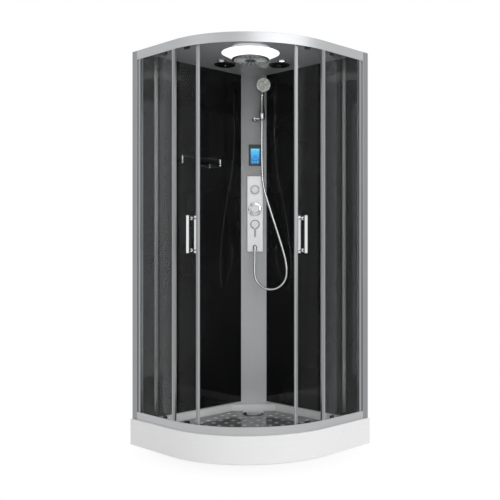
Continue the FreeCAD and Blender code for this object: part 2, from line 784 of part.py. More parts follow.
def make_controls():
    d = column_depth
    x0 = plate_centre - plate_width / 2
    x1 = plate_centre + plate_width / 2
    top = plate_low + plate_height
    face = d + plate_thickness
    plate = corner_box(x0, x1, d, face, plate_low, top)
    front = [edge for edge in plate.Edges
             if all(abs(v.Y + face) < 0.01 for v in edge.Vertexes)]
    plate = plate.makeFillet(plate_round, front)
    t = plate_sheet
    plate = plate.cut(corner_box(x0 + t, x1 - t, d - 1, face - t, plate_low + t, top - t))
    for z in (diverter_height, mixer_height, lever_height):
        plate = plate.cut(peg(spindle_radius + 1, plate_centre, d, face + 1, z))
    plate = plate.cut(peg(outlet_radius - 3 + fit_gap, plate_centre, d, face + 1, outlet_height))

    low = display_low
    high = display_low + display_height
    dx0 = plate_centre - display_width / 2
    dx1 = plate_centre + display_width / 2
    bezel = corner_box(dx0, dx1, d, d + display_proud, low, high)
    rim = [edge for edge in bezel.Edges
           if all(abs(v.Y + d + display_proud) < 0.01 for v in edge.Vertexes)]
    bezel = bezel.makeFillet(1.5, rim)
    bezel = bezel.fuse(corner_box(dx0 + 5, dx1 - 5, d - display_box_depth, d, low + 5, high - 5))
    middle = (low + high) / 2 - screen_drop
    sx0 = plate_centre - screen_width / 2
    sx1 = plate_centre + screen_width / 2
    pocket = d + display_proud - 2
    bezel = bezel.cut(corner_box(sx0 - fit_gap, sx1 + fit_gap, pocket, d + 20,
                                 middle - screen_height / 2 - fit_gap, middle + screen_height / 2 + fit_gap))
    screen = corner_box(sx0, sx1, pocket, d + display_proud - screen_back,
                        middle - screen_height / 2, middle + screen_height / 2)

    seat = face + body_gap
    stem = seat - valve_depth - valve_radius - 1
    knob = turned_knob([(0, 0), (diverter_radius, 0), (diverter_radius, diverter_length - 3),
                        (diverter_radius - 3, diverter_length), (diverter_radius - 8, diverter_length),
                        (diverter_radius - 9, diverter_length - 1.5), (0, diverter_length - 1.5)],
                       plate_centre, seat, diverter_height)
    knob = knob.fuse(corner_box(plate_centre - 2, plate_centre + 2, seat + 10, seat + diverter_length + 2,
                                diverter_height - 15, diverter_height + 15))
    knob = knob.fuse(peg(spindle_radius, plate_centre, seat - stem, seat + 1, diverter_height))
    mixer = turned_knob([(0, 0), (mixer_radius - 8, 0), (mixer_radius - 8, 5), (mixer_radius, 9),
                         (mixer_radius, 18), (mixer_radius - 3, 22), (mixer_radius - 14, 25),
                         (mixer_radius - 16, mixer_length), (0, mixer_length)],
                        plate_centre, seat, mixer_height)
    flat = corner_box(plate_centre - mixer_radius, plate_centre + mixer_radius, seat + 6,
                      seat + mixer_length, mixer_height + mixer_radius - mixer_flat,
                      mixer_height + 2 * mixer_radius)
    for k in range(mixer_grips):
        mixer = mixer.cut(turned(flat, 360 * k / mixer_grips, Vector(0, 1, 0),
                                 Vector(plate_centre, 0, mixer_height)))
    mixer = mixer.fuse(peg(spindle_radius, plate_centre, seat - stem, seat + 1, mixer_height))
    boss = turned_knob([(0, 0), (lever_boss_radius, 0), (lever_boss_radius, lever_boss_length - 4),
                        (lever_boss_radius - 4, lever_boss_length), (0, lever_boss_length)],
                       plate_centre, seat, lever_height)
    tip = Part.makeCylinder(lever_width / 2, lever_boss_length - 6,
                            Vector(plate_centre, -seat - 5, lever_height - lever_reach + lever_width / 2),
                            Vector(0, -1, 0))
    arm = corner_box(plate_centre - lever_width / 2, plate_centre + lever_width / 2, seat + 5,
                     seat + lever_boss_length - 1, lever_height - lever_reach + lever_width / 2, lever_height)
    lever = boss.fuse(arm).fuse(tip)
    lever = lever.fuse(peg(spindle_radius, plate_centre, seat - stem, seat + 1, lever_height))

    body = Part.makeCylinder(valve_radius, valve_high - valve_low, Vector(plate_centre, -valve_depth, valve_low))
    for z in (diverter_height, mixer_height, lever_height):
        body = body.fuse(peg(valve_radius - 4, plate_centre, valve_depth, d - column_sheet - 1, z))
        body = body.fuse(peg(valve_radius - 4, plate_centre, d - column_sheet - 2, face - t - 0.5, z))
    to_left_wall = Vector(-1, 1, 0)
    for z in (valve_low + inlet_rise, valve_low + inlet_rise + inlet_spacing):
        root = Vector(plate_centre, -valve_depth, z)
        body = body.fuse(Part.makeCylinder(inlet_collar, inlet_reach, root, to_left_wall))
        body = body.fuse(Part.makeCylinder(inlet_radius, inlet_reach + inlet_length, root, to_left_wall))
    for z in (diverter_height, mixer_height, lever_height):
        body = body.cut(peg(spindle_radius + spindle_clearance, plate_centre, seat - stem - 1, face, z))
    parts = (plate, bezel, screen, knob, mixer, lever, body)
    return [in_corner(part) for part in parts]


def make_outlet():
    """The elbow that the hose hangs from, with its nut."""
    d = column_depth
    bottom = hose_route[-1]
    face = d + plate_thickness
    rose = peg(outlet_radius + 4, plate_centre, face, face + 4, outlet_height)
    neck = peg(outlet_radius - 3, plate_centre, d - 14, bottom[1], outlet_height)
    nut = Part.makeCylinder(outlet_nut_radius, outlet_height - bottom[2],
                            Vector(plate_centre, -bottom[1], bottom[2]))
    r = outlet_nut_radius
    crown = lathe([(0, outlet_height - 1), (r, outlet_height - 1), (r, outlet_height + 3),
                   (r * 0.8, outlet_height + r * 0.65), (r * 0.4, outlet_height + r * 0.92),
                   (0, outlet_height + r)], plate_centre, -bottom[1])
    elbow = rose.fuse(neck).fuse(nut).fuse(crown)
    return in_corner(elbow)


def make_holder():
    """Wall bracket, the cradle that tilts on it and the hand shower in the cradle."""
    z = holder_height
    d = column_depth
    rose = turned_knob([(0, 0), (holder_rose_radius, 0), (holder_rose_radius, 3),
                        (holder_stem_radius + 1, 9), (0, 9)], holder_stem_x, d, z)
    stem = peg(holder_stem_radius, holder_stem_x, d, holder_depth, z)
    knuckle = holder_stem_radius + 2
    end = turned_knob([(0, -knuckle), (knuckle - 2, -knuckle), (knuckle, 2 - knuckle), (knuckle, knuckle - 4),
                       (knuckle - 5, knuckle), (0, knuckle)], holder_stem_x, holder_depth, z)
    arm_end = holder_x - cradle_radius - 1
    arm = Part.makeCylinder(holder_arm_radius, arm_end - holder_stem_x,
                            Vector(holder_stem_x, -holder_depth, z), Vector(1, 0, 0))
    bracket = rose.fuse(stem).fuse(end).fuse(arm)
    low = z - 5
    high = z + cradle_height
    cone_low = 15.0
    cradle = Part.makeCone(cradle_radius - 2, cradle_radius, high - low, Vector(holder_x, -holder_depth, low))
    cradle = cradle.cut(Part.makeCone(cone_low - 0.6, cone_low + 1.4, high - low,
                                      Vector(holder_x, -holder_depth, low)))
    mouth = Part.makeBox(2 * hose_radius + 3, cradle_radius + 5, high - low + 2,
                         Vector(holder_x - hose_radius - 1.5, -holder_depth - cradle_radius - 5, low - 1))
    cradle = cradle.cut(mouth)
    swivel = Part.makeCylinder(holder_arm_radius + 1, 4.4, Vector(arm_end + body_gap, -holder_depth, z),
                               Vector(1, 0, 0))
    swivel = swivel.cut(Part.makeCone(cone_low - 0.6, cone_low + 1.4, high - low,
                                      Vector(holder_x, -holder_depth, low)))
    cradle = cradle.fuse(swivel)
    # hand shower, drawn upright on the pivot and then leant out
    collar_top = grip_top + collar_height
    rounded = [(ball_radius * math.sin(k * math.pi / 10), -ball_radius * math.cos(k * math.pi / 10))
               for k in range(6)]
    shaft = lathe(rounded + [(cone_low - 0.9, 2), (cone_low + 0.9, cradle_height),
                   (cone_low + 3.3, grip_low), (cone_low + 3, grip_low + 8), (14.5, grip_middle),
                   (10.5, grip_top), (11.5, grip_top + 1), (11.5, collar_top - 1), (10, collar_top),
                   (0, collar_top)], 0, 0)
    head_middle = Vector(head_side, -head_forward, head_height)
    toward = head_middle + Vector(0, 22, -16) - Vector(0, 0, collar_top - 4)
    neck = Part.makeCone(9.5, 15, toward.Length, Vector(0, 0, collar_top - 4), toward)
    head = lathe([(0, -28), (17, -25), (34, -15), (head_radius - 1, -7), (head_radius, -4),
                  (head_radius, -1), (head_radius - 3, 1), (head_radius - 7, 0), (0, 0)], 0, 0)
    head.rotate(Vector(0, 0, 0), Vector(1, 0, 0), 90 + head_tilt)
    head.translate(head_middle)
    shower = shaft.fuse(neck).fuse(head)
    shower.translate(Vector(holder_x, -holder_depth, z))
    return [in_corner(part) for part in (bracket, cradle, shower)]


def make_hose():
    points = [corner_point(*point) for point in hose_route]
    solid, length, radii = tube_along(points, hose_radius)
    section = math.pi * hose_radius ** 2
    print("hose length", round(length, 1), "radii", [round(r) for r in radii],
          "volume ratio", round(solid.Volume / (section * length), 4))
    return solid


# ================================================================ roof
def make_roof():
    under = cabin_top
    top = cabin_top + roof_sheet
    sheet = cabin_slab(roof_front, 2, under, top)
    lamp = corner_point(0, rain_depth, 0)
    sheet = sheet.cut(Part.makeCylinder(pipe_radius + 1, 40, Vector(lamp.x, lamp.y, under - 5)))
    fan = corner_point(disc_x, disc_depth, 0)
    speaker = corner_point(-disc_x, disc_depth, 0)
    sheet = sheet.cut(Part.makeCylinder(fan_radius + body_gap, 40, Vector(fan.x, fan.y, under - 5)))
    sheet = sheet.cut(Part.makeCylinder(speaker_radius + body_gap, 40, Vector(speaker.x, speaker.y, under - 5)))
    # swages that stiffen the sheet, across the diagonal
    for depth, reach in ((780.0, 190.0), (860.0, 130.0)):
        rib = corner_box(-reach, reach, depth - 9, depth + 9, top, top + roof_rib_height)
        upper = [edge for edge in rib.Edges if all(abs(v.Z - top - roof_rib_height) < 0.01
                                                   for v in edge.Vertexes)]
        sheet = sheet.fuse(in_corner(rib.makeChamfer(4, upper)))
    # lamp: a lit cone with an open middle that shows the rain head
    rt = lamp_top_radius
    rb = lamp_bottom_radius
    t = lamp_wall
    diffuser = lathe([(rb, under - lamp_drop), (rt, under), (rt - t * 2, under),
                      (rb - t, under - lamp_drop + t), (rb - t, under - lamp_drop)], lamp.x, lamp.y)
    face = under - lamp_drop - rain_drop
    rain = lathe([(0, face), (rain_radius - 2, face), (rain_radius, face + 2),
                  (rain_radius, face + rain_thickness), (12, face + rain_thickness + 3),
                  (12, under), (0, under)], lamp.x, lamp.y)
    boss = lathe([(0, face - rain_boss_drop), (rain_boss_radius - 5, face - rain_boss_drop),
                  (rain_boss_radius, face - rain_boss_drop + 4), (rain_boss_radius, face + 1),
                  (0, face + 1)], lamp.x, lamp.y)
    rain = rain.fuse(boss)
    for k in range(rain_ribs):
        rib = Part.makeBox(rain_radius - rain_boss_radius - 16, 3, 2.2,
                           Vector(rain_boss_radius + 4, -1.5, face - 1.2))
        rib.rotate(Vector(0, 0, 0), Vector(0, 0, 1), 360.0 * k / rain_ribs)
        rib.translate(Vector(lamp.x, lamp.y, 0))
        rain = rain.fuse(rib)
    # supply pipe: up behind the column, over the roof and down to the rain head
    crest = top + pipe_height
    start = corner_point(plate_centre, valve_depth, valve_high)
    rise = corner_point(plate_centre, valve_depth, crest)
    over = corner_point(0, rain_depth, crest)
    along = (over - rise).normalize()
    bend = Vector(0, 0, pipe_bend)
    sag = pipe_bend * (1 - math.sqrt(0.5))
    path = [line(start, rise - bend),
            Part.Arc(rise - bend, rise + along * sag - Vector(0, 0, sag), rise + along * pipe_bend).toShape(),
            line(rise + along * pipe_bend, over - along * pipe_bend),
            Part.Arc(over - along * pipe_bend, over - along * sag - Vector(0, 0, sag), over - bend).toShape(),
            line(over - bend, Vector(lamp.x, lamp.y, under))]
    ring = Part.Wire(Part.makeCircle(pipe_radius, start, Vector(0, 0, 1)))
    pipe = Part.Wire(path).makePipeShell([ring], True, False)
    sheet = sheet.cut(Part.makeCylinder(pipe_radius + 1, 40, Vector(start.x, start.y, under - 5)))
    return sheet, diffuser, rain, pipe


def make_ceiling_units():
    under = cabin_top
    top = cabin_top + roof_sheet
    at = corner_point(-disc_x, disc_depth, 0)
    low = under - disc_drop
    cover = lathe([(0, low), (disc_radius - 6, low), (disc_radius, low + 4), (disc_radius, under),
                   (0, under)], at.x, at.y)
    for ring, count in ((20.0, 8), (33.0, 12), (46.0, 16)):
        for k in range(count):
            slot = Part.makeBox(7, 3, 4, Vector(ring - 3.5, -1.5, low - 1))
            slot.rotate(Vector(0, 0, 0), Vector(0, 0, 1), 360.0 * k / count)
            slot.translate(Vector(at.x, at.y, 0))
            cover = cover.cut(slot)
    can = Part.makeCylinder(speaker_radius, speaker_height, Vector(at.x, at.y, under))
    magnet = Part.makeCylinder(speaker_radius * 0.55, 14, Vector(at.x, at.y, under + speaker_height))
    speaker = cover.fuse(can).fuse(magnet)

    at = corner_point(disc_x, disc_depth, 0)
    grille = lathe([(0, low), (disc_radius - 6, low), (disc_radius, low + 4), (disc_radius, under),
                    (0, under)], at.x, at.y)
    vents = 10
    for k in range(vents):
        slot = slab([(14, -2.0), (46, -6.5), (46, 6.5), (14, 2.0)], low - 1, under + 1)
        slot.rotate(Vector(0, 0, 0), Vector(0, 0, 1), 360.0 * k / vents)
        slot.translate(Vector(at.x, at.y, 0))
        grille = grille.cut(slot)
    outer = Part.makeCylinder(fan_radius, fan_height, Vector(at.x, at.y, under))
    hollow = Part.makeCylinder(fan_radius - fan_wall, fan_height - 6, Vector(at.x, at.y, under))
    housing = outer.cut(hollow)
    outlet = Part.makeCylinder(20, 30, Vector(at.x, at.y, under + 32) + Vector(0, fan_radius - 6, 0),
                               Vector(0, 1, 0))
    outlet = outlet.cut(Part.makeCylinder(18, 40, Vector(at.x, at.y, under + 32)
                                          + Vector(0, fan_radius - 12, 0), Vector(0, 1, 0)))
    way = Part.makeCylinder(18, 30, Vector(at.x, at.y, under + 32) + Vector(0, fan_radius - 16, 0),
                            Vector(0, 1, 0))
    housing = housing.fuse(outlet).cut(way)
    pin_top = under + fan_height - 6
    pin = Part.makeCylinder(3, 40, Vector(at.x, at.y, pin_top - 40))
    housing = grille.fuse(housing).fuse(pin)
    hub_low = under + 12
    hub = Part.makeCylinder(fan_hub_radius, 26, Vector(at.x, at.y, hub_low))
    rotor = hub
    for k in range(fan_blades):
        blade = Part.makeBox(fan_radius - fan_wall - fan_hub_radius - 2.5, 2, 20,
                             Vector(fan_hub_radius - 1, -1, hub_low + 3))
        blade.rotate(Vector(0, 0, hub_low + 13), Vector(1, 0, 0), 35)
        blade.rotate(Vector(0, 0, 0), Vector(0, 0, 1), 360.0 * k / fan_blades)
        blade.translate(Vector(at.x, at.y, 0))
        rotor = rotor.fuse(blade)
    rotor = rotor.cut(Part.makeCylinder(3 + 0.06, 60, Vector(at.x, at.y, hub_low - 5)))

    lights = []
    for side in (-1, 1):
        at = corner_point(side * downlight_x, downlight_depth, 0)
        bottom = under - downlight_drop
        lights.append(lathe([(0, under), (0, bottom + 1.5), (downlight_radius - 7, bottom + 1.5),
                             (downlight_radius - 6, bottom), (downlight_radius - 2, bottom),
                             (downlight_radius, bottom + 2), (downlight_radius, under)], at.x, at.y))
    return speaker, housing, rotor, Part.makeCompound(lights)


# ================================================================ shelf on the left wall
def make_shelf():
    wall = -half + wall_face
    front = -half + shelf_reach
    near = half - shelf_near
    far = half - shelf_far
    pane = slab(rectangle(wall + fit_gap, front, far, near), shelf_height, shelf_height + shelf_thickness)
    corners = [edge for edge in pane.Edges
               if edge.Length < 2 * shelf_thickness and abs(edge.Vertexes[0].X - front) < 0.01]
    pane = pane.makeFillet(14, corners)
    inset = shelf_post_inset
    post_x = front - inset
    gallery = []
    for y in (near - inset, far + inset):
        seat = shelf_height - shelf_boss_radius - fit_gap
        boss = Part.makeCylinder(shelf_boss_radius, 10, Vector(wall, y, seat), Vector(1, 0, 0))
        arm = Part.makeCylinder(shelf_post_radius, post_x - wall, Vector(wall, y, seat), Vector(1, 0, 0))
        foot = Part.makeCylinder(shelf_post_radius + 1.5, shelf_height - fit_gap - seat,
                                 Vector(post_x, y, seat))
        post = Part.makeCylinder(shelf_post_radius, shelf_height + gallery_rise - seat,
                                 Vector(post_x, y, seat))
        crown = shelf_height + gallery_rise
        knob = lathe([(0, crown - 5), (shelf_post_radius, crown - 5), (shelf_post_radius + 1.5, crown - 3),
                      (shelf_post_radius + 1.5, crown + 2), (2.5, crown + 4), (0, crown + 4)], post_x, y)
        gallery.append(boss.fuse(arm).fuse(foot).fuse(post).fuse(knob))
        pane = pane.cut(Part.makeCylinder(shelf_post_radius + fit_gap, 30, Vector(post_x, y, seat)))
    bar = Part.makeCylinder(gallery_radius, near - far - 2 * inset,
                            Vector(post_x, far + inset, shelf_height + gallery_rise), Vector(0, 1, 0))
    return pane, bar.fuse(gallery[0]).fuse(gallery[1])


# ================================================================ the whole cabin
def main():
    os.makedirs("parts", exist_ok=True)
    save(make_tray(), "shower_tray")
    flange, cover, trap = make_drain()
    save(flange, "drain_flange")
    save(cover, "drain_cover")
    save(trap, "drain_trap")
    frame, bolts, pads = make_tray_frame()
    save(frame, "tray_frame")
    save(bolts, "foot_bolts")
    save(pads, "foot_pads")

    post = make_post()
    save(post, "post_left")
    save(mirrored(post), "post_right")
    top, bottom = make_rails()
    save(top, "top_rail")
    save(bottom, "bottom_rail")
    pane, profiles = make_fixed_side()
    save(pane, "fixed_glass_left")
    save(mirrored(pane), "fixed_glass_right")
    save(profiles, "fixed_profiles_left")
    save(mirrored(profiles), "fixed_profiles_right")

    pieces = make_left_door()
    names = ("door_glass", "door_stiles", "door_seal", "door_handle", "roller_brackets")
    for side, place in (("left", lambda shape: turned(shape, -open_left)),
                        ("right", lambda shape: turned(mirrored(shape), open_right))):
        for name, piece in zip(names, pieces):
            save(place(piece), name + "_" + side)
        for name, wheel in pieces[5].items():
            save(place(wheel), "wheel_" + side + "_" + name)

    pane, wall_frame = make_left_wall()
    save(pane, "wall_panel_left")
    save(mirrored(pane), "wall_panel_right")
    save(wall_frame, "wall_frame_left")
    save(mirrored(wall_frame), "wall_frame_right")
    save(make_column(), "corner_column")
    names = ("control_plate", "display_bezel", "display_screen", "diverter_knob", "mixer_knob",
             "flow_lever", "valve_body")
    for name, piece in zip(names, make_controls()):
        save(piece, name)
    save(make_outlet(), "hose_outlet")
    for name, piece in zip(("holder_bracket", "holder_cradle", "hand_shower"), make_holder()):
        save(piece, name)
    save(make_hose(), "shower_hose")

    for name, piece in zip(("roof_panel", "light_diffuser", "rain_head", "rain_pipe"), make_roof()):
        save(piece, name)
    for name, piece in zip(("ceiling_speaker", "fan_housing", "fan_rotor", "downlights"),
                           make_ceiling_units()):
        save(piece, name)
    pane, gallery = make_shelf()
    save(pane, "glass_shelf")
    save(gallery, "shelf_rail")


main()
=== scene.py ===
import math

import bpy
from bpy.props import FloatProperty, FloatVectorProperty, PointerProperty
from mathutils import Matrix, Vector


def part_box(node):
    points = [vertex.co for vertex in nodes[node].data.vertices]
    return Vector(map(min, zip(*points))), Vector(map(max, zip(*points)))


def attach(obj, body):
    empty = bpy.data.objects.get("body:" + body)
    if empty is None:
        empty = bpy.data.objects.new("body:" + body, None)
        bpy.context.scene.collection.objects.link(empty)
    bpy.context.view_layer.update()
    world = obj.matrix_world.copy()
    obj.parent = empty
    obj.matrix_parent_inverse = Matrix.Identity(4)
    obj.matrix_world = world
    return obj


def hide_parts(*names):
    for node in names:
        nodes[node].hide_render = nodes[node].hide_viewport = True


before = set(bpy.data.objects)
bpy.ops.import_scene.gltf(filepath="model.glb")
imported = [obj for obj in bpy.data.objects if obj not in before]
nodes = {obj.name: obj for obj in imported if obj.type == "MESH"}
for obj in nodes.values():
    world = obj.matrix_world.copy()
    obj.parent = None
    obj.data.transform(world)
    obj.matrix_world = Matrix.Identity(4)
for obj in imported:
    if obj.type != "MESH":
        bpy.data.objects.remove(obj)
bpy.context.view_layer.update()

bl_info = {
    "name": "Quadrant steam shower cabin",
    "version": (1, 0, 0),
    "blender": (4, 5, 0),
    "location": "View3D > Sidebar > Cabin",
    "description": "Finishes, hose, hand shower, fittings and studio for a quadrant steam shower cabin",
    "category": "Object",
}

# ---------------------------------------------------------------- places taken from the frame
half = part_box("shower_tray")[1][0]
FRONT_RADIUS = 0.550
ARC_CENTRE = Vector((half - FRONT_RADIUS, FRONT_RADIUS - half, 0.0))
MM = 0.001

# the hose's route from the hand shower to its outlet: right, out of the corner, up
HOSE_ROUTE = (
    (0.0500, 0.1380, 1.8065), (0.0485, 0.1410, 1.6680), (0.0505, 0.1540, 1.5080),
    (0.0590, 0.1760, 1.4020), (0.0980, 0.2000, 1.2780), (0.1360, 0.2190, 1.1600),
    (0.1710, 0.2320, 1.0490), (0.1970, 0.2400, 0.9530), (0.1970, 0.2380, 0.8620),
    (0.1430, 0.2240, 0.8030), (0.0640, 0.2050, 0.8030), (0.0080, 0.1820, 0.8590),
    (0.0070, 0.1580, 0.9330), (0.0080, 0.1490, 0.9930), (0.0080, 0.1490, 1.0320),
)

# other places in front of the column, also right, out of the corner and up
HAND_SHOWER_PLACE = (0.050, 0.138, 1.818)
MIXER_SCALE_PLACE = (0.008, 0.1051, 1.280)
LEVER_PLACE = (0.008, 0.1205, 1.188)
DISPLAY_RIGHT, DISPLAY_DEPTH = 0.008, 0.1003
DOWNLIGHT_RIGHT, DOWNLIGHT_DEPTH = 0.167, 0.462
CEILING_UNIT_RIGHT, CEILING_UNIT_DEPTH = 0.153, 0.366

# the doors' leading edges at rest and the rollers behind them, in degrees round the quarter circle
DOORWAY_MIDDLE = -45.0
LEFT_DOOR_OPEN, RIGHT_DOOR_OPEN = 27.4, 26.1
ROLLERS_BEHIND_LEAD = (8.32, 28.02)
# the inner face of the roller clamps, and their axles in mm from the clamps' ends
CLAMP_RADIUS = 0.5145
UPPER_AXLE_DROP, LOWER_AXLE_RISE = 27.3, 27.9

# heights in the tray
BASIN_FLOOR, LEDGE_TOP = 0.080, 0.120
STUD_TOP, BASIN_WALL_FOOT = 0.0825, 0.090
# the basin's painted shade and light give way to the rim's own tone between these distances inside the front
# arc
RIM_INNER, RIM_OUTER = 0.036, 0.030
# (level, 0 at the basin's floor and 1 at the ledge; share of the acrylic's own tone): painted shade darkens
# the floor and walls, painted light brightens the ledge
BASIN_SHADE_AND_LIGHT = ((0.0, 0.24), (0.055, 0.24), (0.085, 0.93), (0.16, 0.93), (0.50, 1.05), (1.0, 1.1))

# the sealant beads: where they stop short of the column, their start from the panel's edge, radius
SEALANT_END = 0.326
SEALANT_GAP = 0.002
SEALANT_RADIUS = 4.5    # mm

# the screws of the wall profiles: heights, and distances from the cabin's side and the profile's edge
SCREW_HEIGHTS = (0.260, 0.700, 1.110, 1.520, 1.960)
SCREW_FROM_SIDE = 0.0492
SCREW_FROM_EDGE = 0.0082

# the studio; the floor's shadow fades between the two distances from the cabin's middle
CAMERA_SHIFT = (-0.0905, 0.0008)
SENSOR_WIDTH = 36.0    # mm
CLIP_END = 100.0
FLOOR_RADIUS = 14.0
SHADOW_FADE = (0.12, 0.66)
LAMP_AIM = Vector((0.0, 0.0, 0.9))
KEY_PLACE, KEY_SIZE = (3.2, -0.6, 2.6), 3.6
FILL_PLACE, FILL_SIZE = (-0.4, -3.4, 2.2), 2.0


# ================================================================ settings
class CabinFinishSettings(bpy.types.PropertyGroup):
    """Colours of the cabin's finishes."""

    aluminium: FloatVectorProperty(name="Aluminium", description="Anodised rails, posts and stiles",
                                   subtype="COLOR", size=3, default=(0.46, 0.47, 0.48))
    acrylic: FloatVectorProperty(name="Acrylic", description="White tray",
                                 subtype="COLOR", size=3, default=(0.81, 0.81, 0.815))
    panel: FloatVectorProperty(name="Back walls", description="Painted back of the dark glass",
                               subtype="COLOR", size=3, default=(0.0105, 0.0105, 0.011))
    column: FloatVectorProperty(name="Column", description="Grey corner column and roof lining",
                                subtype="COLOR", size=3, default=(0.33, 0.335, 0.34))
    plate: FloatVectorProperty(name="Control plate", description="Brushed plate behind the knobs",
                               subtype="COLOR", size=3, default=(0.67, 0.68, 0.69))
    chrome: FloatVectorProperty(name="Chrome", description="Plated fittings",
                                subtype="COLOR", size=3, default=(0.62, 0.63, 0.64))
    screen: FloatVectorProperty(name="Screen", description="Lit display",
                                subtype="COLOR", size=3, default=(0.010, 0.215, 0.52))


class CabinHoseSettings(bpy.types.PropertyGroup):
    """The shower hose."""

    diameter: FloatProperty(name="Diameter", description="Outside diameter of the hose",
                            default=0.014, min=0.010, max=0.018, unit="LENGTH")
    length: FloatProperty(name="Length", description="Length between its two nuts",
                          default=1.378, min=1.0, max=2.0, unit="LENGTH")


class CabinStudioSettings(bpy.types.PropertyGroup):
    """Camera and light."""

    lens: FloatProperty(name="Lens", description="Focal length on a 36 mm sensor",
                        default=56.05, min=20.0, max=200.0, unit="CAMERA")
    camera_place: FloatVectorProperty(name="Camera", description="Where the camera stands", size=3,
                                      default=(3.0432, -2.8255, 1.032), subtype="TRANSLATION")
    view_line: FloatVectorProperty(name="View line", description="Level line that the camera looks along",
                                   size=3, default=(-0.69253, 0.72138, 0.0), subtype="DIRECTION")
    ambient: FloatProperty(name="Ambient", description="Strength of the surrounding light",
                           default=0.72, min=0.0, max=2.0, subtype="FACTOR")
    key: FloatProperty(name="Key lamp", description="Power of the lamp on the right",
                       default=58.0, min=0.0, max=1000.0, unit="POWER")
    fill: FloatProperty(name="Fill lamp", description="Power of the lamp on the left",
                        default=4.0, min=0.0, max=1000.0, unit="POWER")


# ================================================================ helpers
def mm(*values):
    """Millimetres as metres."""
    return tuple(value * MM for value in values)


def from_corner(right, depth, up):
    """A point given by its distance along the column's face, out of the back corner, and up."""
    root = math.sqrt(2)
    return Vector((-half + (right + depth) / root, half + (right - depth) / root, up))


def corner_matrix(right, depth, up):
    """Stands a piece that is drawn facing -Y in front of the column."""
    return Matrix.Translation(from_corner(right, depth, up)) @ Matrix.Rotation(math.radians(45), 4, "Z")


def on_arc(radius, degrees, up):
    """A point on a circle about the middle of the quarter circle."""
    angle = math.radians(degrees)
    return ARC_CENTRE + Vector((radius * math.cos(angle), radius * math.sin(angle), up))


def deselect():
    if bpy.context.object and bpy.context.object.mode != "OBJECT":
        bpy.ops.object.mode_set(mode="OBJECT")
    bpy.ops.object.select_all(action="DESELECT")


def choose(piece):
    deselect()
    piece.select_set(True)
    bpy.context.view_layer.objects.active = piece


def settle(piece, place):
    """Put the piece where it belongs and keep its place in its mesh."""
    choose(piece)
    piece.matrix_world = place @ piece.matrix_world
    bpy.ops.object.transform_apply(location=True, rotation=True, scale=True)


def join(name, pieces):
    choose(pieces[0])
    for piece in pieces:
        piece.select_set(True)
    if len(pieces) > 1:
        bpy.ops.object.join()
    piece = bpy.context.object
    piece.name = name
    return piece


def smooth(piece, degrees=35):
    choose(piece)
    bpy.ops.object.shade_smooth_by_angle(angle=math.radians(degrees))


def drawn_line(name, section):
    """Draw (across, up) points in mm by extruding a single point, and stay in edit mode."""
    deselect()
    bpy.ops.mesh.primitive_plane_add(size=0.001, location=(0, 0, 0))
    piece = bpy.context.object
    piece.name = name
    bpy.ops.object.mode_set(mode="EDIT")
    bpy.ops.mesh.select_all(action="SELECT")
    bpy.ops.mesh.merge(type="CENTER")
    points = [mm(*point) for point in section]
    across, up = points[0]
    bpy.ops.transform.translate(value=(across, 0, up))
    for (x0, z0), (x1, z1) in zip(points, points[1:]):
        bpy.ops.mesh.extrude_region_move(TRANSFORM_OT_translate={"value": (x1 - x0, 0, z1 - z0)})
    bpy.ops.mesh.select_all(action="SELECT")
    return piece


def turned(name, section, steps=48):
    """Draw half a section of (radius, height) points in mm and spin it round the upright axis."""
    piece = drawn_line(name, section)
    bpy.ops.mesh.spin(steps=steps, angle=math.tau, center=(0, 0, 0), axis=(0, 0, 1))
    bpy.ops.mesh.select_all(action="SELECT")
    bpy.ops.mesh.remove_doubles(threshold=0.00002)
    bpy.ops.mesh.normals_make_consistent(inside=False)
    bpy.ops.object.mode_set(mode="OBJECT")
    smooth(piece)
    return piece


def prism(name, section, length):
    """Draw an outline of (across, up) points in mm, close it and extrude it along Y."""
    piece = drawn_line(name, section)
    bpy.ops.mesh.edge_face_add()
    bpy.ops.mesh.extrude_region_move(TRANSFORM_OT_translate={"value": (0, length, 0)})
    bpy.ops.mesh.select_all(action="SELECT")
    bpy.ops.mesh.normals_make_consistent(inside=False)
    bpy.ops.object.mode_set(mode="OBJECT")
    return piece


def block(name, size, place, edge):
    """A box of the given size about its place, with its edges rounded, all in mm."""
    deselect()
    bpy.ops.mesh.primitive_cube_add(size=1.0, location=mm(*place))
    piece = bpy.context.object
    piece.name = name
    piece.scale = mm(*size)
    bpy.ops.object.transform_apply(location=True, rotation=True, scale=True)
    bpy.ops.object.mode_set(mode="EDIT")
    bpy.ops.mesh.select_all(action="SELECT")
    bpy.ops.mesh.bevel(offset=edge * MM, segments=3, affect="EDGES")
    bpy.ops.object.mode_set(mode="OBJECT")
    return piece


def copied(piece, places):
    """The piece repeated at each place, every copy with its own mesh, joined into the first."""
    copies = []
    for place in places:
        copy = piece.copy()
        copy.data = piece.data.copy()
        bpy.context.scene.collection.objects.link(copy)
        copy.matrix_world = place @ piece.matrix_world
        copies.append(copy)
    name = piece.name
    bpy.data.objects.remove(piece)
    for copy in copies:
        choose(copy)
        bpy.ops.object.transform_apply(location=True, rotation=True, scale=True)
    return join(name, copies)


def ring(count, radius, turn=0.0):
    """Places spread evenly on a circle about the upright axis, its radius in mm."""
    return [Matrix.Rotation(turn + math.tau * k / count, 4, "Z") @ Matrix.Translation(mm(radius, 0, 0))
            for k in range(count)]


def finish_with(piece, material, body):
    """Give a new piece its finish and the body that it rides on."""
    piece.data.materials.clear()
    piece.data.materials.append(material)
    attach(piece, body)


def paint(material, *names):
    """Give carried-over nodes their finish."""
    for name in names:
        for holder in nodes[name].material_slots:
            holder.material = material


# ================================================================ shader nodes
made = {}


def kept(maker):
    """Make a material or node group once, and give the same one each time its name is asked for."""
    def ask(name, *details, **options):
        if name not in made:
            made[name] = maker(name, *details, **options)
        return made[name]
    return ask


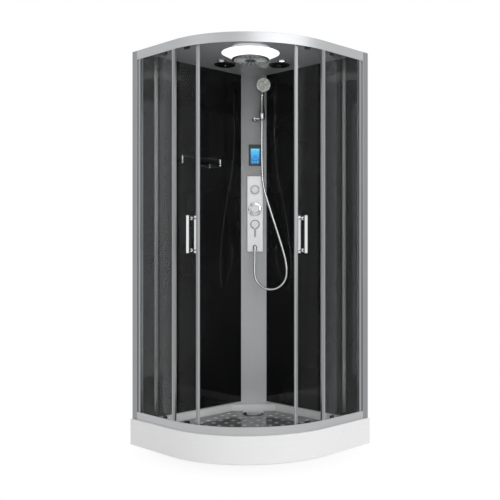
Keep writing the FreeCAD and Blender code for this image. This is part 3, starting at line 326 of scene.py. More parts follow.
def feed(tree, taker, inputs):
    """Set each of a node's inputs to its value, or link it to its socket."""
    for label, value in inputs.items():
        if isinstance(value, bpy.types.NodeSocket):
            tree.links.new(value, taker.inputs[label])
        else:
            taker.inputs[label].default_value = value


def add_node(tree, kind, inputs, **settings):
    added = tree.nodes.new("ShaderNode" + kind)
    for setting, value in settings.items():
        setattr(added, setting, value)
    feed(tree, added, inputs)
    return added


def object_place(tree):
    return add_node(tree, "TexCoord", {}).outputs["Object"]


def maths(tree, operation, *terms):
    return add_node(tree, "Math", dict(enumerate(terms)), operation=operation).outputs["Value"]


def vector_maths(tree, operation, *terms):
    return add_node(tree, "VectorMath", dict(enumerate(terms)), operation=operation).outputs["Vector"]


def length_of(tree, vector):
    return add_node(tree, "VectorMath", {0: vector}, operation="LENGTH").outputs["Value"]


def mapped(tree, value, span=(0.0, 1.0), onto=(0.0, 1.0), **settings):
    """Map one span of the value onto another and hold it there past the ends."""
    return add_node(tree, "MapRange", {"Value": value, "From Min": span[0], "From Max": span[1],
                                       "To Min": onto[0], "To Max": onto[1]}, **settings).outputs["Result"]


def noise(tree, place, scale, detail=2.0):
    return add_node(tree, "TexNoise", {"Vector": place, "Scale": scale, "Detail": detail}).outputs["Fac"]


def ramp_of(tree, value, tones):
    """The colour of a value by (position, colour) stops."""
    ramp = add_node(tree, "ValToRGB", {"Fac": value})
    elements = ramp.color_ramp.elements
    while len(elements) < len(tones):
        elements.new(1.0)
    for element, (position, colour) in zip(elements, tones):
        element.position = position
        element.color = (*colour, 1.0)
    return ramp.outputs["Color"]


def tint(tree, value, dark, light):
    """A colour between two tints, led by a noise value."""
    return ramp_of(tree, value, [(0.35, dark), (0.65, light)])


def spotted(tree, mask, colour, share):
    """The colour, and a share of it where the mask is 1."""
    return ramp_of(tree, mask, [(0.0, colour), (1.0, shade(colour, share))])


def mixed(tree, factor, first, second, blend="MIX"):
    return add_node(tree, "Mix", {"Factor": factor, "A": first, "B": second},
                    data_type="RGBA", blend_type=blend).outputs["Result"]


def bumped(tree, height, strength, distance):
    return add_node(tree, "Bump", {"Height": height, "Strength": strength,
                                   "Distance": distance}).outputs["Normal"]


def shade(colour, amount):
    return tuple(min(1.0, part * amount) for part in colour)


def new_group(name, inputs, outputs):
    """A node group with its input sockets and its output node."""
    group = bpy.data.node_groups.new(name, "ShaderNodeTree")
    for label, default in inputs:
        socket = group.interface.new_socket(label, in_out="INPUT", socket_type="NodeSocketFloat")
        socket.default_value = default
    for label in outputs:
        group.interface.new_socket(label, in_out="OUTPUT", socket_type="NodeSocketFloat")
    return group, group.nodes.new("NodeGroupInput").outputs, group.nodes.new("NodeGroupOutput")


@kept
def grain_group(name):
    """Fine drawn lines on metal: stretched noise, with a slow change of gloss under it."""
    group, given, result = new_group(name, [("Across", 900.0), ("Along", 6.0), ("Gloss", 0.3)],
                                     ("Lines", "Roughness"))
    place = object_place(group)
    stretch = add_node(group, "CombineXYZ", {"X": given["Across"], "Y": given["Across"],
                                             "Z": given["Along"]}).outputs["Vector"]
    lines = noise(group, vector_maths(group, "MULTIPLY", place, stretch), 1.0, 3.0)
    both = maths(group, "ADD", lines, noise(group, place, 7.0, 4.0))
    centred = maths(group, "SUBTRACT", both, 1.0)
    feed(group, result, {"Lines": lines,
                         "Roughness": maths(group, "MULTIPLY_ADD", centred, 0.08, given["Gloss"])})
    return group


@kept
def wear_group(name):
    """Water spots and wipe marks: small round spots and broad faint clouds."""
    group, given, result = new_group(name, [("Spots", 160.0), ("Gloss", 0.1), ("Gloss change", 0.06)],
                                     ("Mask", "Roughness"))
    place = object_place(group)
    cells = add_node(group, "TexVoronoi", {"Vector": place, "Scale": given["Spots"]}).outputs["Distance"]
    spots = mapped(group, cells, (0.08, 0.20), (1.0, 0.0))
    clouds = noise(group, place, 5.0, 5.0)
    mask = maths(group, "MULTIPLY", spots, mapped(group, clouds, (0.55, 0.75)))
    both = maths(group, "MULTIPLY_ADD", clouds, 0.5, mask)
    feed(group, result, {"Mask": mask, "Roughness": maths(group, "MULTIPLY_ADD", both,
                                                          given["Gloss change"], given["Gloss"])})
    return group


@kept
def height_group(name):
    """0 at a low level and 1 at a high one, in the piece's own coordinates."""
    group, given, result = new_group(name, [("Low", 0.0), ("High", 1.0)], ("Level",))
    height = add_node(group, "SeparateXYZ", {"Vector": object_place(group)}).outputs["Z"]
    feed(group, result, {"Level": mapped(group, height, (given["Low"], given["High"]))})
    return group


def marks_on(tree, inputs):
    """Water marks on a finish, as the outputs Mask and Roughness."""
    return add_node(tree, "Group", inputs, node_tree=wear_group("Water marks")).outputs


def level_of(tree, low, high):
    return add_node(tree, "Group", {"Low": low, "High": high},
                    node_tree=height_group("Height level")).outputs["Level"]


# ================================================================ finishes
def blank(name):
    material = bpy.data.materials.new(name)
    material.use_nodes = True
    return material, material.node_tree, material.node_tree.nodes["Principled BSDF"]


@kept
def drawn_metal(name, colour, gloss, across=900.0, along=6.0):
    """Brushed or anodised metal, with its lines along the direction of the lower scale."""
    material, tree, shader = blank(name)
    grain = add_node(tree, "Group", {"Across": across, "Along": along, "Gloss": gloss},
                     node_tree=grain_group("Drawn grain")).outputs
    feed(tree, shader, {
        "Metallic": 1.0,
        "Roughness": grain["Roughness"],
        "Base Color": tint(tree, grain["Lines"], shade(colour, 0.94), shade(colour, 1.06)),
        "Normal": bumped(tree, grain["Lines"], 0.25, 0.00004),
    })
    return material


@kept
def polished(name, colour, gloss=0.06, spots=220.0):
    """Plated or cast metal with water spots."""
    material, tree, shader = blank(name)
    marks = marks_on(tree, {"Spots": spots, "Gloss": gloss, "Gloss change": 0.05})
    feed(tree, shader, {
        "Metallic": 1.0,
        "Roughness": marks["Roughness"],
        "Base Color": spotted(tree, marks["Mask"], colour, 0.93),
        "Normal": bumped(tree, marks["Mask"], 0.12, 0.00005),
    })
    return material


@kept
def clear_glass(name, colour, ior):
    """Clear glass whose tint is a little deeper under water spots."""
    material, tree, shader = blank(name)
    marks = marks_on(tree, {"Spots": 90.0})
    feed(tree, shader, {
        "Transmission Weight": 1.0,
        "IOR": ior,
        "Roughness": 0.0,
        "Base Color": spotted(tree, marks["Mask"], colour, 0.97),
    })
    return material


@kept
def dark_glass(name, colour):
    """Glass painted at the back: deep and even, with broad faint clouds in its tint and gloss."""
    material, tree, shader = blank(name)
    clouds = noise(tree, object_place(tree), 2.2)
    feed(tree, shader, {
        "Roughness": mapped(tree, clouds, onto=(0.02, 0.06)),
        "Base Color": tint(tree, clouds, shade(colour, 0.7), shade(colour, 1.3)),
        "Specular IOR Level": 0.34,
    })
    return material


@kept
def graded(name, tones, low, high, gloss, coat):
    """A lacquered sheet with light and shade painted into its tone by height, under faint water marks."""
    material, tree, shader = blank(name)
    marks = marks_on(tree, {"Spots": 120.0, "Gloss": gloss, "Gloss change": 0.06})
    sheet = ramp_of(tree, level_of(tree, low, high), tones)
    feed(tree, shader, {
        "Roughness": marks["Roughness"],
        "Base Color": mixed(tree, marks["Mask"], sheet, (0.93, 0.93, 0.93, 1.0), "MULTIPLY"),
        "Coat Weight": coat,
        "Coat Roughness": 0.05,
    })
    return material


@kept
def tray_acrylic(name, colour):
    """White acrylic; inside the basin painted shade darkens it towards the studded floor, and painted light
    brightens it up at the ledge.
    """
    material, tree, shader = blank(name)
    place = object_place(tree)
    from_arc = vector_maths(tree, "SUBTRACT", place, (ARC_CENTRE.x, ARC_CENTRE.y, 0.0))
    mirrored = vector_maths(tree, "MULTIPLY", from_arc, (1.0, -1.0, 0.0))
    ahead = vector_maths(tree, "MAXIMUM", mirrored, (0.0, 0.0, 0.0))
    inside = mapped(tree, length_of(tree, ahead), (FRONT_RADIUS - RIM_INNER, FRONT_RADIUS - RIM_OUTER),
                    (1.0, 0.0))
    # painted shade on the basin's floor and walls, painted light on its ledge
    basin = ramp_of(tree, level_of(tree, BASIN_FLOOR, LEDGE_TOP),
                    [(level, shade(colour, share)) for level, share in BASIN_SHADE_AND_LIGHT])
    scuffs = noise(tree, place, 6.0, 3.0)
    outer = ramp_of(tree, scuffs, [(0.3, shade(colour, 0.985)), (0.7, colour)])
    wiped = mapped(tree, scuffs, onto=(0.24, 0.34))
    feed(tree, shader, {
        "Base Color": mixed(tree, inside, outer, basin),
        "Roughness": mapped(tree, level_of(tree, STUD_TOP, BASIN_WALL_FOOT), onto=(0.09, wiped)),
    })
    return material


@kept
def moulded(name, colour, gloss, pebble=900.0, dark=0.92, light=1.06):
    """Moulded plastic or rubber with a pebbled skin."""
    material, tree, shader = blank(name)
    pebbles = noise(tree, object_place(tree), pebble)
    feed(tree, shader, {
        "Roughness": mapped(tree, pebbles, onto=(gloss - 0.05, gloss + 0.07)),
        "Base Color": tint(tree, pebbles, shade(colour, dark), shade(colour, light)),
        "Normal": bumped(tree, pebbles, 0.3, 0.00008),
    })
    return material


@kept
def lit_screen(name, colour, top_colour):
    """Backlit display: paler at the top, darker below, with fine pixel rows."""
    material, tree, shader = blank(name)
    low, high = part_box("display_screen")
    glow = ramp_of(tree, level_of(tree, low[2], high[2]),
                   [(0.0, shade(colour, 0.66)), (0.45, colour), (1.0, top_colour)])
    rows = add_node(tree, "TexWave", {"Vector": object_place(tree), "Scale": 400.0},
                    bands_direction="Z").outputs["Fac"]
    feed(tree, shader, {
        "Base Color": glow,
        "Emission Color": glow,
        "Emission Strength": 0.75,
        "Roughness": 0.12,
        "Normal": bumped(tree, rows, 0.1, 0.00002),
    })
    return material


@kept
def glowing(name, colour, strength):
    """Frosted cover lit from behind, with faint clouds in its tone."""
    material, tree, shader = blank(name)
    frost = noise(tree, object_place(tree), 14.0)
    glow = tint(tree, frost, shade(colour, 0.92), colour)
    feed(tree, shader, {
        "Base Color": glow,
        "Emission Color": glow,
        "Emission Strength": strength,
        "Roughness": 0.35,
        "Normal": bumped(tree, frost, 0.1, 0.0001),
    })
    return material


def seen_directly(tree):
    """1 for rays that show the studio in the picture, straight, mirrored or through glass."""
    rays = add_node(tree, "LightPath", {}).outputs
    mirrored = maths(tree, "MAXIMUM", rays["Is Camera Ray"], rays["Is Glossy Ray"])
    return maths(tree, "MAXIMUM", mirrored, rays["Is Transmission Ray"])


# ================================================================ operators
class CABIN_OT_camera(bpy.types.Operator):
    """Stand the camera in front of the doorway"""

    bl_idname = "cabin.camera"
    bl_label = "Camera"

    def execute(self, context):
        studio = context.scene.cabin_studio
        data = bpy.data.cameras.new("camera")
        camera = bpy.data.objects.new("camera", data)
        context.scene.collection.objects.link(camera)
        camera.location = studio.camera_place
        camera.rotation_euler = Vector(studio.view_line).to_track_quat("-Z", "Y").to_euler()
        data.sensor_width = SENSOR_WIDTH
        data.lens = studio.lens
        data.shift_x, data.shift_y = CAMERA_SHIFT
        data.clip_end = CLIP_END
        context.scene.camera = camera
        return {"FINISHED"}


class CABIN_OT_hose(bpy.types.Operator):
    """Lay the shower hose from the hand shower down to its outlet"""

    bl_idname = "cabin.hose"
    bl_label = "Shower hose"

    def execute(self, context):
        hose = context.scene.cabin_hose
        finish = context.scene.cabin_finish
        data = bpy.data.curves.new("hose", "CURVE")
        data.dimensions = "3D"
        line = data.splines.new("NURBS")
        line.points.add(len(HOSE_ROUTE) - 1)
        for point, place in zip(line.points, HOSE_ROUTE):
            point.co = (*from_corner(*place), 1.0)
        line.order_u = 3
        line.use_endpoint_u = True
        line.resolution_u = 24
        data.resolution_u = 24
        data.bevel_depth = hose.diameter / 2
        data.bevel_resolution = 6
        data.use_fill_caps = True
        piece = bpy.data.objects.new("hose", data)
        context.scene.collection.objects.link(piece)
        data.materials.append(polished("hose silver", tuple(finish.chrome), 0.16, spots=400.0))
        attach(piece, "cabin")
        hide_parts("shower_hose")
        return {"FINISHED"}


class CABIN_OT_hand_shower(bpy.types.Operator):
    """Model the hand shower: handle, collar, swan neck, head and nozzle face"""

    bl_idname = "cabin.hand_shower"
    bl_label = "Hand shower"

    def execute(self, context):
        finish = context.scene.cabin_finish
        place = corner_matrix(*HAND_SHOWER_PLACE)
        ball_radius = 11.0
        ball = [(ball_radius * math.sin(k * math.pi / 16), -ball_radius * math.cos(k * math.pi / 16))
                for k in range(9)]
        grip = [(14.1, 2), (15.0, 12), (15.9, 22), (17.8, 23.6), (18.3, 25), (18.2, 28), (17.7, 33),
                (16.9, 46), (15.7, 62), (14.4, 80), (12.9, 104), (11.2, 128), (10.5, 139), (10.9, 140.2),
                (11.4, 141), (11.5, 141.6), (11.5, 143.6), (11.0, 144.6), (9.8, 145), (0, 145)]
        handle = turned("shower_and_handle", ball + grip)

        # swan neck: a ring drawn up from the collar in steps that lean and widen
        neck_foot, neck_step = mm(0, 0, 142.5), mm(1.6, 1.3, 6.6)
        deselect()
        bpy.ops.mesh.primitive_circle_add(vertices=40, radius=9.4 * MM, fill_type="NGON", location=neck_foot)
        neck = context.object
        bpy.ops.object.mode_set(mode="EDIT")
        bpy.ops.mesh.select_all(action="SELECT")
        for grow in (1.02, 1.06, 1.10, 1.10, 1.08, 1.06):
            bpy.ops.mesh.extrude_region_move(TRANSFORM_OT_translate={"value": neck_step})
            bpy.ops.transform.resize(value=(grow, grow, grow))
        bpy.ops.mesh.select_all(action="SELECT")
        bpy.ops.mesh.normals_make_consistent(inside=False)
        bpy.ops.object.mode_set(mode="OBJECT")
        smooth(neck, 40)

        shell = [(0, -28), (9, -27.6), (17, -25), (26, -20.6), (34, -15), (38.6, -10.8), (41.8, -6.9),
                 (43.0, -4), (43.0, -1.6), (42.2, -0.2), (40, 0.9), (38.6, 0.6), (37.9, -0.4), (0, -0.4)]
        head = turned("head", shell, 72)
        lean = Matrix.Translation(Vector((10, -14, 198)) * MM) @ Matrix.Rotation(math.radians(102), 4, "X")
        settle(head, lean)
        shower = join("shower_and_handle", [handle, neck, head])
        settle(shower, place)
        finish_with(shower, polished("polished chrome", tuple(finish.chrome)), "hand_shower_set")
        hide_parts("hand_shower")

        face = turned("spray_face", [(0, -1.2), (37.5, -1.2), (37.5, 0.1), (36.7, 0.5), (14, 0.5), (13, 0.9),
                                     (0, 1.1)], 64)
        spots = []
        for count, radius in ((6, 6.5), (14, 17.5), (20, 24.5), (26, 31.5)):
            spots += ring(count, radius, turn=radius)    # each row turned by another angle
        nozzle = turned("nozzle", [(0, 0.4), (1.5, 0.4), (1.0, 2.2), (0, 2.2)], 10)
        face = join("spray_face", [face, copied(nozzle, spots)])
        settle(face, lean)
        settle(face, place)
        finish_with(face, moulded("spray rubber", (0.82, 0.82, 0.76), 0.35, 120.0, dark=0.5, light=1.2),
                    "hand_shower_set")
        return {"FINISHED"}


class CABIN_OT_rain_nozzles(bpy.types.Operator):
    """Set the ribs, the nozzles and the centre cap under the rain head"""

    bl_idname = "cabin.rain_nozzles"
    bl_label = "Rain nozzles"

    def execute(self, context):
        low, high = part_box("rain_head")
        middle = (Vector(low) + Vector(high)) / 2
        face_inset = 8 * MM
        under = Matrix.Translation((middle.x, middle.y, low[2] + face_inset))
        nozzle = turned("rain_nozzles", [(0, 0.3), (2.2, 0.3), (1.4, -3.4), (0, -3.4)], 12)
        nozzles = copied(nozzle, ring(20, 84) + ring(20, 62) + ring(10, 40))
        rib = block("rain_ribs", (56, 5.4, 2.4), (0, 0, -0.6), 0.6)
        nozzles = join("rain_nozzles", [nozzles, copied(rib, ring(20, 62))])
        settle(nozzles, under)
        finish_with(nozzles, moulded("pale rubber", (0.80, 0.80, 0.79), 0.4), "cabin")

        cap = turned("rain_cap", [(0, -2.6), (20, -2.4), (25, -1.4), (27, 0.4), (0, 0.4)])
        settle(cap, under)
        finish_with(cap, moulded("dark cap", (0.06, 0.062, 0.065), 0.3), "cabin")
        return {"FINISHED"}


class CABIN_OT_lamp_lenses(bpy.types.Operator):
    """Set the two ribbed lenses into the downlights"""

    bl_idname = "cabin.lamp_lenses"
    bl_label = "Downlight lenses"

    def execute(self, context):
        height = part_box("downlights")[0][2] + 1.2 * MM
        section = [(0, 0), (7, 0), (7.5, -0.7), (8, 0), (11, 0), (11.5, -0.7), (12, 0), (15, 0),
                   (15.5, -0.7), (16, 0), (16.4, 0), (16.4, 1.2), (0, 1.2)]
        # painted shade: the left lens glows at under a quarter of the right one's strength, though both are
        # the same lamp
        for name, side, strength in (("lens_left", -1, 0.22), ("lens_right", 1, 1.0)):
            lens = turned(name, section, 40)
            settle(lens, Matrix.Translation(from_corner(side * DOWNLIGHT_RIGHT, DOWNLIGHT_DEPTH, height)))
            finish_with(lens, glowing("lit " + name, (0.95, 0.96, 0.97), strength), "cabin")
        return {"FINISHED"}


class CABIN_OT_ceiling_trims(bpy.types.Operator):
    """Cap the middle of the loudspeaker and of the fan grille with a button"""

    bl_idname = "cabin.ceiling_trims"
    bl_label = "Ceiling trims"

    def execute(self, context):
        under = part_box("ceiling_speaker")[0][2]
        section = [(0, -3.2), (3.5, -3.0), (6.0, -2.2), (7.5, -0.8), (8.0, 0.4), (0, 0.4)]
        buttons = []
        for side in (-1, 1):
            button = turned("ceiling_trims", section, 32)
            place = from_corner(side * CEILING_UNIT_RIGHT, CEILING_UNIT_DEPTH, under)
            settle(button, Matrix.Translation(place))
            buttons.append(button)
        trims = join("ceiling_trims", buttons)
        finish_with(trims, polished("dark chrome", (0.30, 0.31, 0.32), 0.12), "cabin")
        return {"FINISHED"}


class CABIN_OT_roller_caps(bpy.types.Operator):
    """Cap every roller clamp with its turned adjuster"""

    bl_idname = "cabin.roller_caps"
    bl_label = "Roller caps"

    def execute(self, context):
        section = [(0, 0.9), (1.2, 0.9), (1.2, 2.1), (4.4, 2.1), (5.4, 1.4), (5.8, 0.0), (5.8, -0.4),
                   (0, -0.4)]
        for side, lead, turn in (("left", DOORWAY_MIDDLE - LEFT_DOOR_OPEN, -1),
                                 ("right", DOORWAY_MIDDLE + RIGHT_DOOR_OPEN, 1)):
            low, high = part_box("roller_brackets_" + side)
            caps = []
            for behind in ROLLERS_BEHIND_LEAD:
                degrees = lead + turn * behind
                inward = (Matrix.Rotation(math.radians(degrees), 4, "Z")
                          @ Matrix.Rotation(-math.pi / 2, 4, "Y"))
                for height in (high[2] - UPPER_AXLE_DROP * MM, low[2] + LOWER_AXLE_RISE * MM):
                    cap = turned("roller_caps_" + side, section, 24)
                    settle(cap, Matrix.Translation(on_arc(CLAMP_RADIUS, degrees, height)) @ inward)
                    caps.append(cap)
            caps = join("roller_caps_" + side, caps)
            finish_with(caps, moulded("grey nylon", (0.16, 0.165, 0.17), 0.3), "door_" + side)
        return {"FINISHED"}


class CABIN_OT_sealant(bpy.types.Operator):
    """Run the sealant beads where the dark walls stand on the tray"""

    bl_idname = "cabin.sealant"
    bl_label = "Sealant beads"

    def execute(self, context):
        low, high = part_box("wall_panel_left")
        inner, start, foot = high[0], low[1] + SEALANT_GAP, low[2]
        quarter = [(0.0, 0.0)] + [(SEALANT_RADIUS * math.cos(k * math.pi / 12),
                                   SEALANT_RADIUS * math.sin(k * math.pi / 12)) for k in range(7)]
        left = prism("sealant_left", quarter, SEALANT_END - start)
        settle(left, Matrix.Translation((inner, start, foot)))
        smooth(left)
        right = prism("sealant_right", quarter, SEALANT_END - start)
        settle(right, Matrix.Translation((-SEALANT_END, -inner, foot))
               @ Matrix.Rotation(-math.pi / 2, 4, "Z"))
        smooth(right)
        beads = join("sealant_beads", [left, right])
        finish_with(beads, moulded("sealant", (0.55, 0.56, 0.56), 0.25, 300.0), "cabin")
        return {"FINISHED"}


class CABIN_OT_screw_caps(bpy.types.Operator):
    """Set the pan-head screws along the wall profiles"""

    bl_idname = "cabin.screw_caps"
    bl_label = "Profile screws"

    def execute(self, context):
        section = [(0, 0.5), (0.9, 0.5), (0.9, 1.7), (2.4, 1.7), (3.3, 1.1), (3.6, 0.0), (0, 0.0)]
        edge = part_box("fixed_profiles_left")[0][1] + SCREW_FROM_EDGE
        along = half - SCREW_FROM_SIDE
        screws = []
        for height in SCREW_HEIGHTS:
            for place, axis in (((-along, edge, height), "X"), ((-edge, along, height), "Y")):
                screw = turned("profile_screws", section, 20)
                settle(screw, Matrix.Translation(place) @ Matrix.Rotation(-math.pi / 2, 4, axis))
                screws.append(screw)
        screws = join("profile_screws", screws)
        finish_with(screws, drawn_metal("screw steel", (0.45, 0.45, 0.44), 0.25), "cabin")
        return {"FINISHED"}


class CABIN_OT_control_marks(bpy.types.Operator):
    """Add the scale round the mixer, a grey strip of painted shade on the lever's arm and the lit marks of
    the display
    """

    bl_idname = "cabin.control_marks"
    bl_label = "Control marks"

    def execute(self, context):
        tick = block("mixer_scale", (0.8, 0.4, 3.0), (0, 0, 0), 0.1)
        scale_radius = 44.5 * MM
        scale = copied(tick, [Matrix.Rotation(math.radians(degrees), 4, "Y")
                              @ Matrix.Translation((0, 0, scale_radius)) for degrees in range(-40, 41, 10)])
        settle(scale, corner_matrix(*MIXER_SCALE_PLACE))
        finish_with(scale, moulded("grey print", (0.10, 0.10, 0.11), 0.4), "cabin")

        # painted shade: a dark grey strip laid down the chrome lever's arm
        inlay = block("lever_shade_strip", (6.4, 0.7, 46.0), (0, 0, -51.0), 0.3)
        settle(inlay, corner_matrix(*LEVER_PLACE))
        finish_with(inlay, moulded("grey inlay", (0.17, 0.175, 0.18), 0.35), "lever")

        low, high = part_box("display_screen")
        middle = (low[2] + high[2]) / 2
        bars = [block("display_marks", (wide, 0.3, tall), (right, 0, up), 0.1)
                for right, up, wide, tall in ((14, 34, 12, 2.4), (-14, 34, 8, 2.4), (0, -34, 5, 5),
                                              (-14, -34, 5, 5), (14, -34, 5, 5))]
        dial = turned("display_dial", [(17.0, -0.15), (18.2, -0.15), (18.2, 0.15), (17.0, 0.15),
                                       (17.0, -0.15)], 56)
        settle(dial, Matrix.Rotation(math.pi / 2, 4, "X"))
        marks = join("display_marks", bars + [dial])
        settle(marks, corner_matrix(DISPLAY_RIGHT, DISPLAY_DEPTH, middle))
        finish_with(marks, glowing("display lines", (0.20, 0.62, 0.85), 0.8), "cabin")
        return {"FINISHED"}


class CABIN_OT_frame(bpy.types.Operator):
    """Finish the posts, rails, stiles and wall frames"""

    bl_idname = "cabin.frame"
    bl_label = "Aluminium frame"

    def execute(self, context):
        tone = tuple(context.scene.cabin_finish.aluminium)
        rails = drawn_metal("anodised rails", tone, 0.40, across=6.0, along=900.0)
        # painted shade: the posts, wall frames and stiles are darker copies of the rails' one aluminium tone
        posts = drawn_metal("anodised posts", shade(tone, 0.62), 0.34)
        stiles = drawn_metal("anodised stiles", shade(tone, 0.70), 0.30)
        sliding = drawn_metal("anodised door stiles", shade(tone, 0.54), 0.30)
        paint(rails, "top_rail", "bottom_rail")
        paint(posts, "post_left", "post_right", "wall_frame_left", "wall_frame_right")
        paint(stiles, "fixed_profiles_left", "fixed_profiles_right")
        paint(sliding, "door_stiles_left", "door_stiles_right")
        return {"FINISHED"}


class CABIN_OT_glazing(bpy.types.Operator):
    """Finish the clear panes, the shelf, the dark back walls and the door seals"""

    bl_idname = "cabin.glazing"
    bl_label = "Glass"

    def execute(self, context):
        finish = context.scene.cabin_finish
        panes = clear_glass("clear panes", (0.93, 0.945, 0.945), 1.15)
        paint(panes, "fixed_glass_left", "fixed_glass_right", "door_glass_left", "door_glass_right")
        paint(clear_glass("shelf glass", (0.62, 0.67, 0.66), 1.33), "glass_shelf")
        paint(dark_glass("dark glass", tuple(finish.panel)), "wall_panel_left", "wall_panel_right")
        paint(moulded("seal", (0.42, 0.43, 0.44), 0.4), "door_seal_left", "door_seal_right")
        return {"FINISHED"}


class CABIN_OT_tray(bpy.types.Operator):
    """Finish the tray, its drain and what stands under it"""

    bl_idname = "cabin.tray"
    bl_label = "Tray"

    def execute(self, context):
        finish = context.scene.cabin_finish
        paint(tray_acrylic("white acrylic", tuple(finish.acrylic)), "shower_tray")
        paint(polished("polished chrome", tuple(finish.chrome)), "drain_flange", "drain_cover")
        paint(moulded("white pipe", (0.74, 0.74, 0.72), 0.35), "drain_trap")
        paint(moulded("zinc tube", (0.24, 0.25, 0.26), 0.45), "tray_frame")
        paint(drawn_metal("zinc bolts", (0.50, 0.50, 0.48), 0.35), "foot_bolts")
        paint(moulded("black rubber", (0.02, 0.02, 0.02), 0.6), "foot_pads")
        return {"FINISHED"}


class CABIN_OT_fittings(bpy.types.Operator):
    """Finish the column, controls, ceiling units, rollers and handles"""

    bl_idname = "cabin.fittings"
    bl_label = "Fittings"

    def execute(self, context):
        finish = context.scene.cabin_finish
        paint(polished("polished chrome", tuple(finish.chrome)), "mixer_knob", "diverter_knob", "flow_lever",
              "hose_outlet", "holder_bracket", "holder_cradle", "shelf_rail", "downlights")
        paint(polished("satin chrome", (0.36, 0.37, 0.38), 0.30, spots=300.0), "rain_head")
        paint(polished("bright chrome", (0.78, 0.785, 0.79)), "door_handle_left", "door_handle_right")
        grey = tuple(finish.column)
        # painted light and shade from the one grey: the column lighter towards its foot, the roof lining a
        # lighter copy of it
        column_painted_light = [(0.0, shade(grey, 1.9)), (0.4, shade(grey, 1.6)), (0.75, shade(grey, 1.18)),
                        (1.0, shade(grey, 0.98))]
        lining_painted_light = [(0.0, shade(grey, 1.4)), (1.0, shade(grey, 1.55))]
        paint(graded("satin grey column", column_painted_light, 0.14, 2.06, 0.28, 0.15), "corner_column")
        paint(graded("glossy grey lining", lining_painted_light, 2.03, 2.09, 0.05, 0.5), "roof_panel")
        plate = drawn_metal("brushed plate", tuple(finish.plate), 0.36, across=6.0, along=1200.0)
        paint(plate, "control_plate")
        paint(moulded("display frame", (0.035, 0.038, 0.045), 0.2), "display_bezel")
        paint(lit_screen("display", tuple(finish.screen), (0.10, 0.52, 0.74)), "display_screen")
        paint(glowing("lit cover", (0.95, 0.96, 0.97), 1.0), "light_diffuser")
        black = moulded("black moulding", (0.012, 0.012, 0.013), 0.35)
        paint(black, "ceiling_speaker", "fan_housing", "roller_brackets_left", "roller_brackets_right")
        wheels = [name for name in nodes if name.startswith("wheel_")]
        paint(moulded("white nylon", (0.7, 0.7, 0.68), 0.3), "fan_rotor", *wheels)
        paint(polished("cast brass", (0.62, 0.48, 0.26), 0.35, spots=300.0), "valve_body")
        braid = drawn_metal("braided pipe", (0.55, 0.56, 0.57), 0.4, across=500.0, along=500.0)
        paint(braid, "rain_pipe")
        return {"FINISHED"}


class CABIN_OT_stage(bpy.types.Operator):
    """Lay the floor and set the lamps and the surrounding light"""

    bl_idname = "cabin.stage"
    bl_label = "Studio"

    def execute(self, context):
        studio = context.scene.cabin_studio

        # the floor shows its shadow near the cabin and is plain white further out
        deselect()
        bpy.ops.mesh.primitive_circle_add(vertices=96, radius=FLOOR_RADIUS, fill_type="NGON",
                                          location=(0, 0, 0))
        floor = context.object
        floor.name = "floor"
        material, tree, shader = blank("studio floor")
        feed(tree, shader, {"Base Color": (0.90, 0.90, 0.90, 1.0), "Roughness": 0.7})
        away = length_of(tree, object_place(tree))
        fade = mapped(tree, away, SHADOW_FADE, interpolation_type="SMOOTHSTEP")
        white = add_node(tree, "Emission", {}).outputs["Emission"]
        blend = add_node(tree, "MixShader", {0: maths(tree, "MULTIPLY", fade, seen_directly(tree)),
                                             1: shader.outputs["BSDF"], 2: white})
        feed(tree, tree.nodes["Material Output"], {"Surface": blend.outputs["Shader"]})
        floor.data.materials.append(material)

        # the surroundings look white, and light the cabin a little less than that
        world = bpy.data.worlds.new("studio")
        context.scene.world = world
        world.use_nodes = True
        tree = world.node_tree
        level = mapped(tree, seen_directly(tree), onto=(studio.ambient, 1.0))
        feed(tree, tree.nodes["Background"], {"Color": (1.0, 1.0, 1.0, 1.0), "Strength": level})

        for name, place, power, size in (("key lamp", KEY_PLACE, studio.key, KEY_SIZE),
                                         ("fill lamp", FILL_PLACE, studio.fill, FILL_SIZE)):
            data = bpy.data.lights.new(name, "AREA")
            data.energy = power
            data.size = size
            lamp = bpy.data.objects.new(name, data)
            context.scene.collection.objects.link(lamp)
            lamp.location = place
            lamp.rotation_euler = (LAMP_AIM - Vector(place)).to_track_quat("-Z", "Y").to_euler()
        context.scene.view_settings.view_transform = "Standard"
        return {"FINISHED"}


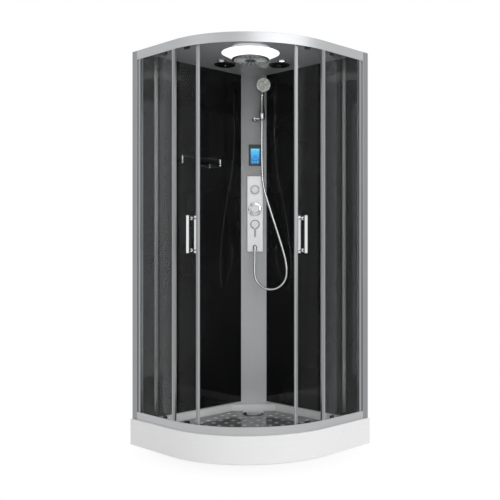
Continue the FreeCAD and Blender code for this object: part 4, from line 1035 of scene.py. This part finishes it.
class CABIN_PT_pieces(bpy.types.Panel):
    """Lists the cabin's operators and settings"""

    bl_label = "Shower cabin"
    bl_idname = "CABIN_PT_pieces"
    bl_space_type = "VIEW_3D"
    bl_region_type = "UI"
    bl_category = "Cabin"

    def draw(self, context):
        layout = self.layout
        for operator in OPERATORS:
            layout.operator(operator.bl_idname)
        for settings in (context.scene.cabin_finish, context.scene.cabin_hose, context.scene.cabin_studio):
            for name in settings.__annotations__:
                layout.prop(settings, name)


SETTINGS = (CabinFinishSettings, CabinHoseSettings, CabinStudioSettings)
OPERATORS = (CABIN_OT_camera, CABIN_OT_hose, CABIN_OT_hand_shower, CABIN_OT_rain_nozzles,
             CABIN_OT_lamp_lenses, CABIN_OT_ceiling_trims, CABIN_OT_roller_caps, CABIN_OT_sealant,
             CABIN_OT_screw_caps, CABIN_OT_control_marks, CABIN_OT_frame, CABIN_OT_glazing,
             CABIN_OT_tray, CABIN_OT_fittings, CABIN_OT_stage)
CLASSES = SETTINGS + OPERATORS + (CABIN_PT_pieces,)


def register():
    for each in CLASSES:
        bpy.utils.register_class(each)
    bpy.types.Scene.cabin_finish = PointerProperty(type=CabinFinishSettings)
    bpy.types.Scene.cabin_hose = PointerProperty(type=CabinHoseSettings)
    bpy.types.Scene.cabin_studio = PointerProperty(type=CabinStudioSettings)


def unregister():
    del bpy.types.Scene.cabin_studio
    del bpy.types.Scene.cabin_hose
    del bpy.types.Scene.cabin_finish
    for each in reversed(CLASSES):
        bpy.utils.unregister_class(each)


def main():
    register()
    bpy.ops.cabin.camera()
    bpy.ops.cabin.hose()
    bpy.ops.cabin.hand_shower()
    bpy.ops.cabin.rain_nozzles()
    bpy.ops.cabin.lamp_lenses()
    bpy.ops.cabin.ceiling_trims()
    bpy.ops.cabin.roller_caps()
    bpy.ops.cabin.sealant()
    bpy.ops.cabin.screw_caps()
    bpy.ops.cabin.control_marks()
    bpy.ops.cabin.frame()
    bpy.ops.cabin.glazing()
    bpy.ops.cabin.tray()
    bpy.ops.cabin.fittings()
    bpy.ops.cabin.stage()


if __name__ == "__main__":
    main()
